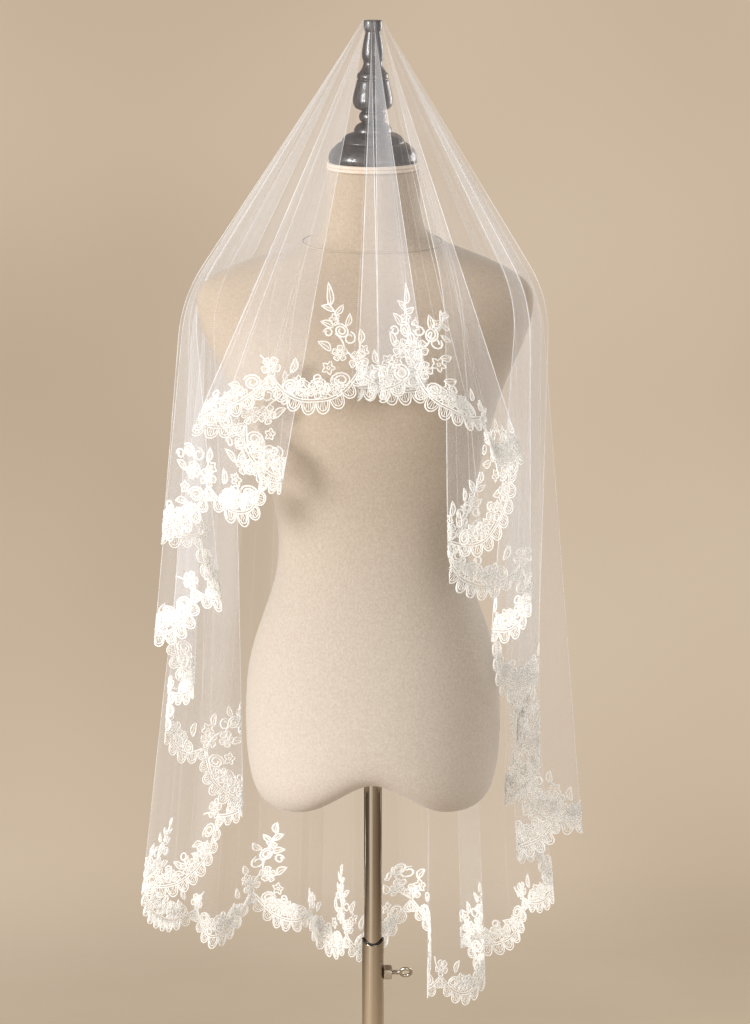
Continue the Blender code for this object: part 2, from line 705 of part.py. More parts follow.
def hang_on_axis(name: str, pieces: tuple, parts) -> None:
    """Parent the pieces that turn together to an empty on the pole's axis."""
    axis = bpy.data.objects.new(name, None)
    parts.objects.link(axis)
    for piece in pieces:
        bpy.data.objects[piece].parent = axis


def build_veil(parts, tulle, lace) -> None:
    """The round of tulle and the lace edging sewn to it."""
    drape = Drape()
    tulle_rows = drape.tulle_rows()
    grid = np.stack(tulle_rows + drape.lace_rows())
    normals = wall_normals(grid)
    seam = len(tulle_rows)
    normals[seam - 1] = normals[seam]
    cloth_wall("veil_tulle", grid[:seam], normals[:seam], drape.top[:3, 3], tulle, parts)
    cloth_wall("lace_edging", grid[seam:], normals[seam:], None, lace, parts)


def main() -> None:
    """Build every part in order."""
    remove_all_objects()
    parts = new_collection(OBJECT_NAME)
    cutters = new_collection("cutters")
    steel = principled("brushed_steel", (0.55, 0.52, 0.48), 0.30, 1.0)
    black = principled("black_plastic", (0.02, 0.02, 0.02), 0.45)
    zinc = principled("zinc_plated_steel", (0.60, 0.58, 0.54), 0.35, 1.0)
    linen = principled("linen_cover", (0.74, 0.62, 0.48), 0.85)
    wood = principled("stained_wood", (0.045, 0.030, 0.022), 0.35)
    tulle = principled("ivory_tulle", (0.88, 0.85, 0.80), 0.70)
    lace = principled("corded_lace", (0.95, 0.93, 0.90), 0.75)
    build_base(parts, steel)
    build_tubes(parts, cutters, steel, black)
    build_clamp(parts, cutters, zinc)
    build_form(parts, cutters, linen)
    build_neck(parts, linen, wood)
    build_veil(parts, tulle, lace)
    turning = ("dress_form", "neck_cap", "finial", "veil_tulle", "lace_edging")
    hang_on_axis("form_axis", turning, parts)


main()
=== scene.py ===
"""Looks of a lace-edged bridal veil that hangs over the finial of a dress form on its stand."""

import logging
import math
from dataclasses import dataclass, field
from enum import Enum
from typing import NamedTuple

import bpy
import numpy as np
from bpy.types import Material, Node, NodeSocket, NodeTree, Object
from mathutils import Matrix, Vector


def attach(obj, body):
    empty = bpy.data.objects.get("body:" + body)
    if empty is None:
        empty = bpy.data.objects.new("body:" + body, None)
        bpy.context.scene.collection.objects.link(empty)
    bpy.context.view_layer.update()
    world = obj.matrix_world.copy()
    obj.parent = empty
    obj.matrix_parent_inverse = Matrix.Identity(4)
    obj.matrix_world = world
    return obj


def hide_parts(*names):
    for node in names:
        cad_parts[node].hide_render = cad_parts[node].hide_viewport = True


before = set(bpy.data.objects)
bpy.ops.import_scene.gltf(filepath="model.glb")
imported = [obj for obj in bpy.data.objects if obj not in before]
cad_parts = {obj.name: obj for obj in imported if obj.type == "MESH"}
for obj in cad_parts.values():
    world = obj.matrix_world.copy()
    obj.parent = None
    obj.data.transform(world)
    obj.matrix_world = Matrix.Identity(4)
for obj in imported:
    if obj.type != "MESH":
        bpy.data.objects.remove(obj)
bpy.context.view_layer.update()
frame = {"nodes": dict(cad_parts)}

log = logging.getLogger("bridal_veil")

TURNING_BODY = "form"
STAND_BODY = "stand"
CLAMP_BODY = "clamp"
MILLIMETRE = 0.001
SEED = 41


# ---- colours, nodes and meshes


def linear(hex_colour: str) -> tuple[float, float, float, float]:
    """Turn an sRGB hex colour into Blender's linear colour.

    Args:
        hex_colour: six hex digits, without the hash.

    Returns:
        Linear red, green and blue, and an alpha of 1.
    """
    parts = [int(hex_colour[i : i + 2], 16) / 255 for i in (0, 2, 4)]
    made = [c / 12.92 if c <= 0.04045 else ((c + 0.055) / 1.055) ** 2.4 for c in parts]
    return (made[0], made[1], made[2], 1.0)


def add_node(tree: NodeTree, kind: str, inputs: dict | None = None, **settings: object) -> Node:
    """Add a node with its settings and links.

    Args:
        tree: the node tree it goes into.
        kind: Blender's name for the node type.
        inputs: what each input socket holds: a value, or another node's output.
        settings: the node's own properties.

    Returns:
        The new node.
    """
    node = tree.nodes.new(kind)
    for name, value in settings.items():
        setattr(node, name, value)
    for key, value in (inputs or {}).items():
        if isinstance(value, NodeSocket):
            tree.links.new(value, node.inputs[key])
        else:
            node.inputs[key].default_value = value
    return node


@dataclass
class Shell:
    """Points and faces gathered from many small shapes into one mesh."""

    points: list = field(default_factory=list)
    faces: list = field(default_factory=list)
    kinds: list = field(default_factory=list)
    count: int = 0

    def add(self, points: np.ndarray, faces: np.ndarray, kind: int = 0) -> None:
        """Add a shape.

        Args:
            points: its points, one a row.
            faces: its faces, as rows of its own point numbers.
            kind: which of the object's finishes it has.
        """
        self.points.append(points)
        self.faces.append(np.asarray(faces) + self.count)
        self.kinds.append(np.full(len(faces), kind))
        self.count += len(points)

    def all_points(self) -> np.ndarray:
        """Every point, one a row."""
        return np.concatenate(self.points)

    def build(self, name: str, points: np.ndarray, *finishes: Material) -> Object:
        """Make one smooth object.

        Args:
            name: the object's name.
            points: where each gathered point stands, in metres.
            finishes: its materials, in the order that the shapes' kinds count them.

        Returns:
            The object, linked to the scene.
        """
        faces = [row for block in self.faces for row in block.tolist()]
        made = mesh_object(name, points, faces, finishes[0])
        for finish in finishes[1:]:
            made.data.materials.append(finish)
        made.data.polygons.foreach_set("material_index", np.concatenate(self.kinds).astype(np.int32))
        return made


def mesh_object(name: str, points: np.ndarray, faces: list, finish: Material, sharp: float = 0.0) -> Object:
    """Make a smooth-shaded object from points and faces.

    Args:
        name: the object's name.
        points: its points in metres.
        faces: its faces, as lists of point numbers.
        finish: its material.
        sharp: edges that bend by more than this many degrees stay sharp; 0 keeps none.

    Returns:
        The object, linked to the scene.
    """
    mesh = bpy.data.meshes.new(name)
    mesh.from_pydata(np.asarray(points).tolist(), [], faces)
    mesh.shade_smooth()
    if sharp:
        mesh.set_sharp_from_angle(angle=math.radians(sharp))
    mesh.materials.append(finish)
    made = bpy.data.objects.new(name, mesh)
    bpy.context.scene.collection.objects.link(made)
    return made


def store(made: Object, name: str, values: np.ndarray) -> None:
    """Store a value for each point of an object, under a name that its finish reads."""
    layer = made.data.attributes.new(name, "FLOAT", "POINT")
    layer.data.foreach_set("value", values.astype(np.float32))


def unit(vectors: np.ndarray) -> np.ndarray:
    """The vectors at a length of 1, one a row."""
    return vectors / np.maximum(np.linalg.norm(vectors, axis=-1, keepdims=True), 1e-9)


def round_angles(steps: int) -> np.ndarray:
    """Even steps round a whole turn, in radians."""
    return math.tau * np.arange(steps) / steps


def grid_faces(rows: int, columns: int, looped: bool = False, inward: bool = False) -> np.ndarray:
    """Faces of a grid of points whose last column joins its first, a quad for each cell.

    Args:
        rows: how many rows of points there are.
        columns: how many points a row has.
        looped: whether the last row joins the first too.
        inward: whether the faces look the other way.

    Returns:
        The quads, one a row.
    """
    across = np.arange(columns)
    after = (across + 1) % columns
    row = np.arange(rows if looped else rows - 1)[:, None]
    low, high = row * columns, (row + 1) % rows * columns
    corners = [low + across, high + across, high + after, low + after]
    if inward:
        corners[1::2] = corners[3:0:-2]
    return np.stack(corners, axis=-1).reshape(-1, 4)


def turned(name: str, outline: np.ndarray, finish: Material, steps: int = 96, sharp: float = 50.0) -> Object:
    """Turn an outline of (radius, height) rows about Z, as on a lathe.

    Args:
        name: the object's name.
        outline: radius and height down the outer side, in metres. It closes on the axis.
        finish: its material.
        steps: how many sides the round has.
        sharp: the bend above which an edge stays sharp, in degrees.

    Returns:
        The turned object.
    """
    angle = round_angles(steps)
    across, along = np.outer(outline[:, 0], np.cos(angle)), np.outer(outline[:, 0], np.sin(angle))
    rings = np.stack([across, along, np.repeat(outline[:, 1:2], steps, axis=1)], axis=-1)
    points = np.concatenate([rings.reshape(-1, 3), [[0, 0, outline[0, 1]], [0, 0, outline[-1, 1]]]])
    faces = grid_faces(len(outline), steps).tolist()
    top, foot = len(points) - 2, len(points) - 1
    last = (len(outline) - 1) * steps
    for i in range(steps):
        after = (i + 1) % steps
        faces.append([i, after, top])
        faces.append([last + after, last + i, foot])
    return mesh_object(name, points, faces, finish, sharp)


def smooth_line(corners: np.ndarray, steps: int) -> np.ndarray:
    """A smooth line through each corner.

    Args:
        corners: the corners, one a row.
        steps: how many points each side gets.

    Returns:
        The line's points, one a row, with the last corner at its end.
    """
    before = np.concatenate([corners[:1], corners[:-1]])[:-1]
    after = np.concatenate([corners[2:], corners[-1:]])
    start, end = corners[:-1], corners[1:]
    square = 2 * before - 5 * start + 4 * end - after
    cube = 3 * start - before - 3 * end + after
    shares = [step / steps for step in range(steps)]
    line = [0.5 * (2 * start + (end - before) * t + square * t**2 + cube * t**3) for t in shares]
    return np.concatenate([np.stack(line, axis=1).reshape(-1, corners.shape[1]), corners[-1:]])


def smooth_step(value: np.ndarray, low: float, high: float) -> np.ndarray:
    """0 below low, 1 above high, with an even slope between them."""
    t = np.clip((value - low) / (high - low), 0, 1)
    return t * t * (3 - 2 * t)


# ---- finishes


def start_material(name: str, inputs: dict) -> tuple[Material, NodeTree, Node]:
    """Start a material.

    Args:
        name: its name, which says what it is made of.
        inputs: the values of its shader's inputs.

    Returns:
        The material, its nodes and its shader.
    """
    made = bpy.data.materials.new(name)
    made.use_nodes = True
    shader = made.node_tree.nodes["Principled BSDF"]
    for key, value in inputs.items():
        shader.inputs[key].default_value = value
    return made, made.node_tree, shader


def place_on(tree: NodeTree) -> NodeSocket:
    """Where each point stands on its object, in metres."""
    return add_node(tree, "ShaderNodeTexCoord").outputs["Object"]


def stored(tree: NodeTree, name: str) -> NodeSocket:
    """The value that the mesh stores under this name."""
    return add_node(tree, "ShaderNodeAttribute", attribute_name=name).outputs["Fac"]


def stretched(tree: NodeTree, place: NodeSocket, scale: tuple[float, float, float]) -> NodeSocket:
    """A place, scaled along each axis."""
    return add_node(tree, "ShaderNodeMapping", {"Vector": place, "Scale": scale}).outputs["Vector"]


def noise(
    tree: NodeTree, place: NodeSocket, scale: float, detail: float = 2.0, roughness: float = 0.5
) -> NodeSocket:
    """Smooth noise from 0 to 1.

    Args:
        tree: the nodes that it joins.
        place: where it is looked up.
        scale: how many features it has in each unit of place.
        detail: how many finer layers it has.
        roughness: how strong those are.

    Returns:
        The noise.
    """
    wanted = {"Vector": place, "Scale": scale, "Detail": detail, "Roughness": roughness}
    return add_node(tree, "ShaderNodeTexNoise", wanted).outputs["Fac"]


def reckoned(tree: NodeTree, operation: str, *values: NodeSocket | float, **settings: object) -> NodeSocket:
    """The result of Blender's math operation on some values.

    Args:
        tree: the nodes that it joins.
        operation: Blender's name for the operation.
        values: numbers or other nodes' outputs.
        settings: the node's other properties.

    Returns:
        The result.
    """
    made = add_node(tree, "ShaderNodeMath", dict(enumerate(values)), operation=operation, **settings)
    return made.outputs["Value"]


def remapped(
    tree: NodeTree, value: NodeSocket, old: tuple[float, float], new: tuple[float, float] = (0.0, 1.0),
    **settings: object,
) -> NodeSocket:
    """Carry a value from one range over to another, and hold it there.

    Args:
        tree: the nodes that it joins.
        value: the output that gives it.
        old: the two ends of the range that it comes from.
        new: what they become.
        settings: the node's own properties.

    Returns:
        The new value.
    """
    ends = {"Value": value, "From Min": old[0], "From Max": old[1], "To Min": new[0], "To Max": new[1]}
    return add_node(tree, "ShaderNodeMapRange", ends, **settings).outputs["Result"]


def toned(tree: NodeTree, value: NodeSocket, *stops: tuple[float, str]) -> NodeSocket:
    """Turn a value into a colour.

    Args:
        tree: the nodes that it joins.
        value: the output that gives it, from 0 to 1.
        stops: values with the sRGB hex colours that stand there.

    Returns:
        The colour.
    """
    node = add_node(tree, "ShaderNodeValToRGB", {"Fac": value})
    ramp = node.color_ramp
    while len(ramp.elements) < len(stops):
        ramp.elements.new(0.5)
    for element, (place, hex_colour) in zip(ramp.elements, stops):
        element.position = place
        element.color = linear(hex_colour)
    return node.outputs["Color"]


def blended(tree: NodeTree, share: NodeSocket | float, first: NodeSocket, second: NodeSocket) -> NodeSocket:
    """Two shaders mixed, with this share of the second."""
    return add_node(tree, "ShaderNodeMixShader", {0: share, 1: first, 2: second}).outputs["Shader"]


def emboss(tree: NodeTree, shader: Node, height: NodeSocket, strength: float, depth: float) -> None:
    """Give a surface relief from a height, of this strength and this depth in metres."""
    bump = add_node(tree, "ShaderNodeBump", {"Height": height, "Strength": strength, "Distance": depth})
    tree.links.new(bump.outputs["Normal"], shader.inputs["Normal"])


def let_light_through(
    tree: NodeTree, shader: Node, colour: str, share: float, opacity: NodeSocket, scattered: float = 0.0
) -> None:
    """Finish a thin cloth: part of the light glows through it and part passes between threads.

    Args:
        tree: the material's nodes.
        shader: the surface's own shader.
        colour: the sRGB hex colour of the light that glows through.
        share: how much of the cloth's light comes through from behind, from 0 to 1.
        opacity: how much of the view the threads cover.
        scattered: how much of its shadow the light scattered on through the threads fills in.
    """
    if scattered:
        path = add_node(tree, "ShaderNodeLightPath")
        shadow = remapped(tree, path.outputs["Is Shadow Ray"], (0.0, 1.0), (1.0, 1.0 - scattered))
        opacity = reckoned(tree, "MULTIPLY", opacity, shadow)
    glow = add_node(tree, "ShaderNodeBsdfTranslucent", {"Color": linear(colour)})
    cloth = blended(tree, share, shader.outputs["BSDF"], glow.outputs["BSDF"])
    gaps = add_node(tree, "ShaderNodeBsdfTransparent")
    whole = blended(tree, opacity, gaps.outputs["BSDF"], cloth)
    tree.links.new(whole, tree.nodes["Material Output"].inputs["Surface"])


@dataclass(frozen=True)
class IvoryTulle:
    """Nylon tulle, warp-knitted into fine hexagons: a bright haze, thin where one layer hangs
    and milky where layers cross or a crease doubles it. Its hexagons are 1.4 mm across, too
    fine to show at this size, so they are drawn 2.6 mm across and faintly."""

    colour: str = "DFE0E4"
    opacity: float = 0.070
    crease_opacity: float = 0.20
    streak: float = 0.018
    glow: float = 0.40
    hexagon: float = 2.6 * MILLIMETRE
    streaks_a_metre: tuple[float, float, float] = (120.0, 2.2, 1.0)
    thread_cover: tuple[float, float] = (0.02, -0.008)

    def material(self) -> Material:
        """The tulle's material. It reads the cloth's creases, its gathering and its flat cut.

        Returns:
            The material.
        """
        made, tree, shader = start_material(
            "ivory_nylon_tulle_warp_knitted",
            {
                "Base Color": linear(self.colour),
                "Roughness": 0.6,
                "Sheen Weight": 0.15,
                "Sheen Roughness": 0.4,
            },
        )
        cut = add_node(tree, "ShaderNodeUVMap", uv_map="flat_cut").outputs["UV"]
        streaks = noise(tree, stretched(tree, cut, self.streaks_a_metre), 1.0, detail=3.0)
        net = add_node(
            tree,
            "ShaderNodeTexVoronoi",
            {"Vector": cut, "Scale": 1 / self.hexagon, "Randomness": 0.15},
            feature="DISTANCE_TO_EDGE",
            voronoi_dimensions="2D",
        )
        threads = remapped(tree, net.outputs["Distance"], (0.0, 0.25), self.thread_cover)
        ends = (self.opacity - self.streak / 2, self.opacity + self.streak)
        streaked = remapped(tree, streaks, (0.3, 0.75), ends)
        gathered = reckoned(tree, "MULTIPLY", streaked, stored(tree, "gather"))
        creased = reckoned(tree, "MULTIPLY_ADD", stored(tree, "crease"), self.crease_opacity, gathered)
        netted = reckoned(tree, "ADD", creased, threads, use_clamp=True)
        let_light_through(tree, shader, self.colour, self.glow, netted)
        return made


@dataclass(frozen=True)
class DoubledTulle:
    """Nylon tulle pressed double along a fold: a fine line, several times as bright as the
    single cloth and a little uneven along its length."""

    colour: str = "F2F3F6"
    opacity: float = 0.62
    glow: float = 0.45
    unevenness: float = 25 * MILLIMETRE
    faintest: float = 0.45

    def material(self) -> Material:
        """The fold's material. It reads how sharply each fold is pressed.

        Returns:
            The material.
        """
        made, tree, shader = start_material(
            "ivory_nylon_tulle_pressed_double", {"Base Color": linear(self.colour), "Roughness": 0.6}
        )
        uneven = noise(tree, place_on(tree), 1 / self.unevenness, detail=3.0)
        shown = remapped(tree, uneven, (0.3, 0.6), (self.faintest, 1.0))
        weight = reckoned(tree, "MULTIPLY", stored(tree, "crease"), self.opacity)
        cover = reckoned(tree, "MULTIPLY", weight, shown, use_clamp=True)
        let_light_through(tree, shader, self.colour, self.glow, cover)
        return made


@dataclass(frozen=True)
class CordedLace:
    """Rayon cord on net: bright, dense white with a soft gloss. The cord's twist is 0.8 mm
    long, drawn at 1.6 mm so that it breaks up the light."""

    name: str = "white_rayon_cord_lace_embroidered"
    colour: str = "F6F5F3"
    shade: str = "DAD6CF"
    glow: float = 0.45
    scattered: float = 0.66
    least_cover: float = 0.94
    most_cover: float = 1.0
    twist: float = 1.6 * MILLIMETRE
    relief: float = 0.6 * MILLIMETRE

    def material(self) -> Material:
        """The lace's material.

        Returns:
            The material.
        """
        made, tree, shader = start_material(self.name, {"Roughness": 0.62, "Sheen Weight": 0.25})
        thread = noise(tree, place_on(tree), 1 / self.twist)
        tone = toned(tree, thread, (0.3, self.shade), (0.6, self.colour))
        cover = remapped(tree, thread, (0.35, 0.6), (self.least_cover, self.most_cover))
        tree.links.new(tone, shader.inputs["Base Color"])
        emboss(tree, shader, thread, strength=0.35, depth=self.relief)
        let_light_through(tree, shader, self.colour, self.glow, cover, self.scattered)
        return made


@dataclass(frozen=True)
class LinenCover:
    """Cotton-linen jersey cover, plain and matte: a pale sand colour, heathered by slubs in
    its yarn, with painted light and shade by height: lighter towards the hips, darker and
    more orange towards the neck. Its yarns lie 0.6 mm apart, drawn at 1 mm so that
    the grain shows."""

    name: str = "sand_linen_cover_woven"
    colour: str = "B9AEA3"
    dark_yarn: str = "B1A69A"
    light_yarn: str = "C1B7AC"
    yarn: float = 1.0 * MILLIMETRE
    relief: float = 0.9 * MILLIMETRE
    # Painted light and shade by height: lightest below the first level, darkest and most orange above the
    # second, through the three colours
    painted_light_below: float = 0.82
    painted_shade_above: float = 1.38
    painted_height_light_and_shade: tuple[str, str, str] = ("FFFFFF", "E6E3DE", "DBD0C0")

    def material(self) -> Material:
        """The cover's material.

        Returns:
            The material.
        """
        made, tree, shader = start_material(self.name, {"Roughness": 0.88, "Sheen Weight": 0.2})
        place = place_on(tree)
        slub = noise(tree, place, 0.5 / self.yarn, detail=3.0, roughness=0.7)
        fibre = noise(tree, stretched(tree, place, (1.0, 1.0, 0.6)), 0.45 / self.yarn)
        heather = reckoned(tree, "MULTIPLY", slub, fibre)
        tone = toned(tree, heather, (0.12, self.dark_yarn), (0.25, self.colour), (0.42, self.light_yarn))
        course = add_node(
            tree,
            "ShaderNodeTexWave",
            {"Vector": place, "Scale": 0.16 / self.yarn, "Distortion": 1.5, "Detail": 1.0},
            bands_direction="Z",
        )
        height = reckoned(tree, "MULTIPLY_ADD", course.outputs["Fac"], 0.3, slub)
        emboss(tree, shader, height, strength=0.3, depth=self.relief)
        # Painted light and shade by height, multiplied into the yarn's tone
        level = add_node(tree, "ShaderNodeSeparateXYZ", {"Vector": place}).outputs["Z"]
        upness = remapped(tree, level, (self.painted_light_below, self.painted_shade_above))
        painted_height_tone = toned(tree, upness, *zip((0.0, 0.45, 1.0), self.painted_height_light_and_shade))
        tone_and_painted_height = {"Factor": 1.0, 6: tone, 7: painted_height_tone}
        painted_height_toned = add_node(tree, "ShaderNodeMix", tone_and_painted_height, data_type="RGBA", blend_type="MULTIPLY")
        tree.links.new(painted_height_toned.outputs[2], shader.inputs["Base Color"])
        return made


@dataclass(frozen=True)
class StainedWood:
    """Turned beech, stained nearly black and waxed: dark and satin, with bright rings where
    its beads catch the light. Its grain lines are 1 mm apart, drawn at 2 mm."""

    colour: str = "211B18"
    light_grain: str = "3B302A"
    grain: float = 2.0 * MILLIMETRE
    roughness: tuple[float, float] = (0.3, 0.5)

    def material(self) -> Material:
        """The wood's material.

        Returns:
            The material.
        """
        made, tree, shader = start_material(
            "black_stained_beech_turned", {"Coat Weight": 0.6, "Coat Roughness": 0.12}
        )
        long_grain = stretched(tree, place_on(tree), (1.0, 1.0, 0.12))
        lines = noise(tree, long_grain, 1 / self.grain, detail=4.0)
        tone = toned(tree, lines, (0.4, self.colour), (0.7, self.light_grain))
        tree.links.new(tone, shader.inputs["Base Color"])
        tree.links.new(remapped(tree, lines, (0.3, 0.7), self.roughness), shader.inputs["Roughness"])
        return made


@dataclass(frozen=True)
class BrushedMetal:
    """Metal with a fine ground surface: it reflects in long soft bands, with faint lines
    from the grit. The lines are 0.1 mm apart, drawn at 0.8 mm."""

    name: str
    colour: str
    roughness: float
    stretch: tuple[float, float, float] = (1.0, 1.0, 0.02)
    line: float = 0.8 * MILLIMETRE
    relief: float = 0.1 * MILLIMETRE

    def material(self) -> Material:
        """The metal's material.

        Returns:
            The material.
        """
        made, tree, shader = start_material(self.name, {"Base Color": linear(self.colour), "Metallic": 1.0})
        lines = noise(tree, stretched(tree, place_on(tree), self.stretch), 1 / self.line, detail=3.0)
        rough = remapped(tree, lines, (0.3, 0.7), (self.roughness * 0.8, self.roughness * 1.25))
        tree.links.new(rough, shader.inputs["Roughness"])
        emboss(tree, shader, lines, strength=0.12, depth=self.relief)
        return made


@dataclass(frozen=True)
class MouldedBlack:
    """Black polyethylene, moulded: matte black with a faint, even graining of 1 mm."""

    colour: str = "17171A"
    grain: float = 1.0 * MILLIMETRE
    relief: float = 0.1 * MILLIMETRE

    def material(self) -> Material:
        """The plastic's material.

        Returns:
            The material.
        """
        made, tree, shader = start_material(
            "black_polyethylene_moulded", {"Base Color": linear(self.colour), "Roughness": 0.5}
        )
        grain = noise(tree, place_on(tree), 1 / self.grain)
        emboss(tree, shader, grain, strength=0.2, depth=self.relief)
        return made


# ---- the veil's drape


class Fold(NamedTuple):
    """One fold line of the veil: its place at shoulder level, its place at the hem, and
    how much of the cloth on each side of it is taken up by the bend, up to 0.5."""

    name: str
    shoulder_x: float
    shoulder_y: float
    hem_x: float
    hem_y: float
    hem_z: float
    softness: float


# From the front centre round by the wearer's right side, the back and the left side
VEIL_FOLDS = tuple(Fold(*row) for row in (
    ("centre pleat, upper edge", 0.004, -0.130, 0.006, -0.162, 1.277, 0.05),
    ("centre pleat, under edge", 0.047, -0.120, 0.066, -0.148, 1.276, 0.06),
    ("centre pleat, far edge", -0.014, -0.109, -0.020, -0.133, 1.276, 0.06),
    ("small centre pleat", 0.006, -0.118, 0.008, -0.147, 1.277, 0.08),
    ("right front panel", -0.041, -0.124, -0.067, -0.147, 1.273, 0.50),
    ("right front swag", -0.119, -0.104, -0.163, -0.120, 1.267, 0.50),
    ("right front edge", -0.137, -0.098, -0.205, -0.108, 1.248, 0.08),
    ("right inner fold 1", -0.060, -0.101, -0.099, -0.128, 1.181, 0.10),
    ("right shoulder front", -0.146, -0.078, -0.129, -0.112, 1.146, 0.45),
    ("right shoulder side", -0.186, -0.047, -0.177, -0.088, 1.148, 0.45),
    ("right outer fold 1", -0.219, -0.008, -0.244, -0.032, 1.118, 0.14),
    ("right under panel 1", -0.213, 0.015, -0.198, -0.026, 1.085, 0.40),
    ("right inner fold 2", -0.206, 0.038, -0.169, -0.018, 1.036, 0.14),
    ("right outer fold 2", -0.218, 0.044, -0.260, 0.020, 0.983, 0.12),
    ("right inner fold 3", -0.192, 0.056, -0.205, 0.036, 0.932, 0.20),
    ("right outer fold 3", -0.210, 0.066, -0.248, 0.056, 0.876, 0.14),
    ("right under panel 3", -0.195, 0.071, -0.221, 0.066, 0.827, 0.45),
    ("right inner fold 4", -0.163, 0.080, -0.152, 0.080, 0.777, 0.10),
    ("right low panel", -0.181, 0.089, -0.213, 0.090, 0.692, 0.45),
    ("right outer fold 4", -0.196, 0.097, -0.285, 0.092, 0.652, 0.10),
    ("back flute 1", -0.167, 0.116, -0.235, 0.190, 0.601, 0.35),
    ("back hollow 1", -0.139, 0.101, -0.197, 0.150, 0.596, 0.35),
    ("back flute 2", -0.105, 0.123, -0.149, 0.215, 0.620, 0.35),
    ("back hollow 2", -0.067, 0.104, -0.090, 0.162, 0.613, 0.35),
    ("back flute 3", -0.047, 0.124, -0.065, 0.225, 0.579, 0.35),
    ("back hollow 3", -0.020, 0.104, -0.029, 0.167, 0.561, 0.35),
    ("back flute 4", 0.020, 0.124, 0.039, 0.235, 0.600, 0.35),
    ("back swag 4", 0.048, 0.113, 0.074, 0.200, 0.601, 0.40),
    ("back hollow 4", 0.070, 0.103, 0.065, 0.158, 0.519, 0.14),
    ("back low panel", 0.086, 0.107, 0.118, 0.172, 0.518, 0.45),
    ("back flute 5", 0.102, 0.110, 0.143, 0.186, 0.547, 0.16),
    ("back hollow 5", 0.082, 0.120, 0.108, 0.220, 0.565, 0.16),
    ("back flute 6", 0.124, 0.124, 0.175, 0.230, 0.573, 0.35),
    ("left outer fold 6", 0.158, 0.104, 0.225, 0.150, 0.662, 0.14),
    ("left inner fold 6", 0.141, 0.086, 0.169, 0.110, 0.719, 0.14),
    ("left outer fold 5", 0.200, 0.076, 0.254, 0.066, 0.756, 0.10),
    ("left inner fold 5", 0.159, 0.063, 0.151, 0.045, 0.787, 0.12),
    ("left outer fold 4", 0.197, 0.052, 0.196, 0.020, 0.835, 0.12),
    ("left inner fold 4", 0.185, 0.044, 0.164, 0.000, 0.869, 0.12),
    ("left outer fold 3", 0.202, -0.008, 0.190, -0.022, 0.937, 0.12),
    ("left under panel 3", 0.174, -0.040, 0.147, -0.048, 0.939, 0.40),
    ("left inner fold 3", 0.160, -0.064, 0.130, -0.068, 0.990, 0.10),
    ("left low panel 2", 0.171, -0.066, 0.162, -0.076, 1.014, 0.45),
    ("left outer fold 2", 0.177, -0.070, 0.178, -0.082, 1.048, 0.12),
    ("left shoulder front", 0.112, -0.093, 0.130, -0.112, 1.061, 0.50),
    ("left inner fold 1", 0.079, -0.104, 0.081, -0.142, 1.081, 0.08),
    ("left breast panel", 0.099, -0.109, 0.133, -0.122, 1.116, 0.45),
    ("left outer fold 1", 0.107, -0.113, 0.173, -0.116, 1.206, 0.10),
    ("left under panel 1", 0.094, -0.118, 0.139, -0.127, 1.197, 0.40),
    ("left front edge", 0.084, -0.122, 0.126, -0.138, 1.235, 0.45),
    ("left front panel", 0.053, -0.127, 0.079, -0.156, 1.272, 0.50),
))
FRONT_FOLD = 1.5


class Crease(NamedTuple):
    """A soft ridge (or, below zero, a trough) in a panel, which runs down from the cap.

    place counts folds, so 4.5 is half-way between the fifth and sixth rows of VEIL_FOLDS;
    height is in millimetres, width is its half width in millimetres at the shoulder, start
    and end are shares of the way down, and line is how bright its pressed edge is."""

    place: float
    height: float
    width: float
    start: float
    end: float
    line: float


CREASES = tuple(Crease(*row) for row in (
    (3.45, 1.5, 9, 0.05, 1.0, 0.35),
    (4.60, -2.5, 12, 0.10, 0.8, 0.25),
    (5.20, 2.0, 10, 0.05, 0.9, 0.55),
    (5.32, -1.5, 9, 0.30, 1.0, 0.15),
    (5.66, 2.0, 11, 0.10, 1.0, 0.40),
    (6.25, 1.5, 9, 0.20, 1.0, 0.30),
    (6.60, -2.0, 10, 0.10, 0.9, 0.30),
    (7.30, 2.0, 12, 0.10, 0.9, 0.40),
    (7.65, -2.0, 12, 0.10, 1.0, 0.20),
    (8.80, 2.5, 14, 0.05, 1.0, 0.45),
    (9.50, -2.0, 12, 0.10, 0.7, 0.25),
    (11.20, 1.5, 10, 0.05, 1.0, 0.40),
    (12.50, 1.5, 9, 0.10, 1.0, 0.30),
    (16.20, 1.5, 9, 0.10, 1.0, 0.35),
    (17.80, -2.0, 10, 0.20, 1.0, 0.30),
    (18.40, 1.5, 9, 0.20, 1.0, 0.20),
    (19.50, 2.0, 12, 0.10, 1.0, 0.35),
    (21.50, 2.0, 12, 0.10, 1.0, 0.25),
    (23.40, 1.5, 10, 0.20, 1.0, 0.25),
    (25.50, 2.0, 12, 0.10, 1.0, 0.30),
    (26.80, -1.5, 10, 0.10, 1.0, 0.25),
    (32.40, 2.0, 12, 0.10, 1.0, 0.25),
    (32.70, -2.0, 10, 0.20, 1.0, 0.30),
    (36.50, 1.5, 9, 0.10, 1.0, 0.25),
    (38.50, 1.5, 9, 0.10, 1.0, 0.30),
    (39.80, -1.5, 10, 0.10, 1.0, 0.35),
    (43.30, 1.5, 10, 0.10, 1.0, 0.30),
    (44.40, 2.0, 12, 0.05, 1.0, 0.35),
    (44.70, -2.0, 12, 0.20, 1.0, 0.25),
    (45.80, 2.0, 12, 0.10, 0.9, 0.40),
    (48.20, -2.0, 11, 0.10, 0.9, 0.30),
    (49.30, 2.0, 10, 0.05, 1.0, 0.45),
    (49.70, -1.5, 9, 0.10, 0.9, 0.20),
    (50.30, 1.5, 9, 0.20, 1.0, 0.35),
    (50.60, 1.2, 9, 0.05, 1.0, 0.25),
))

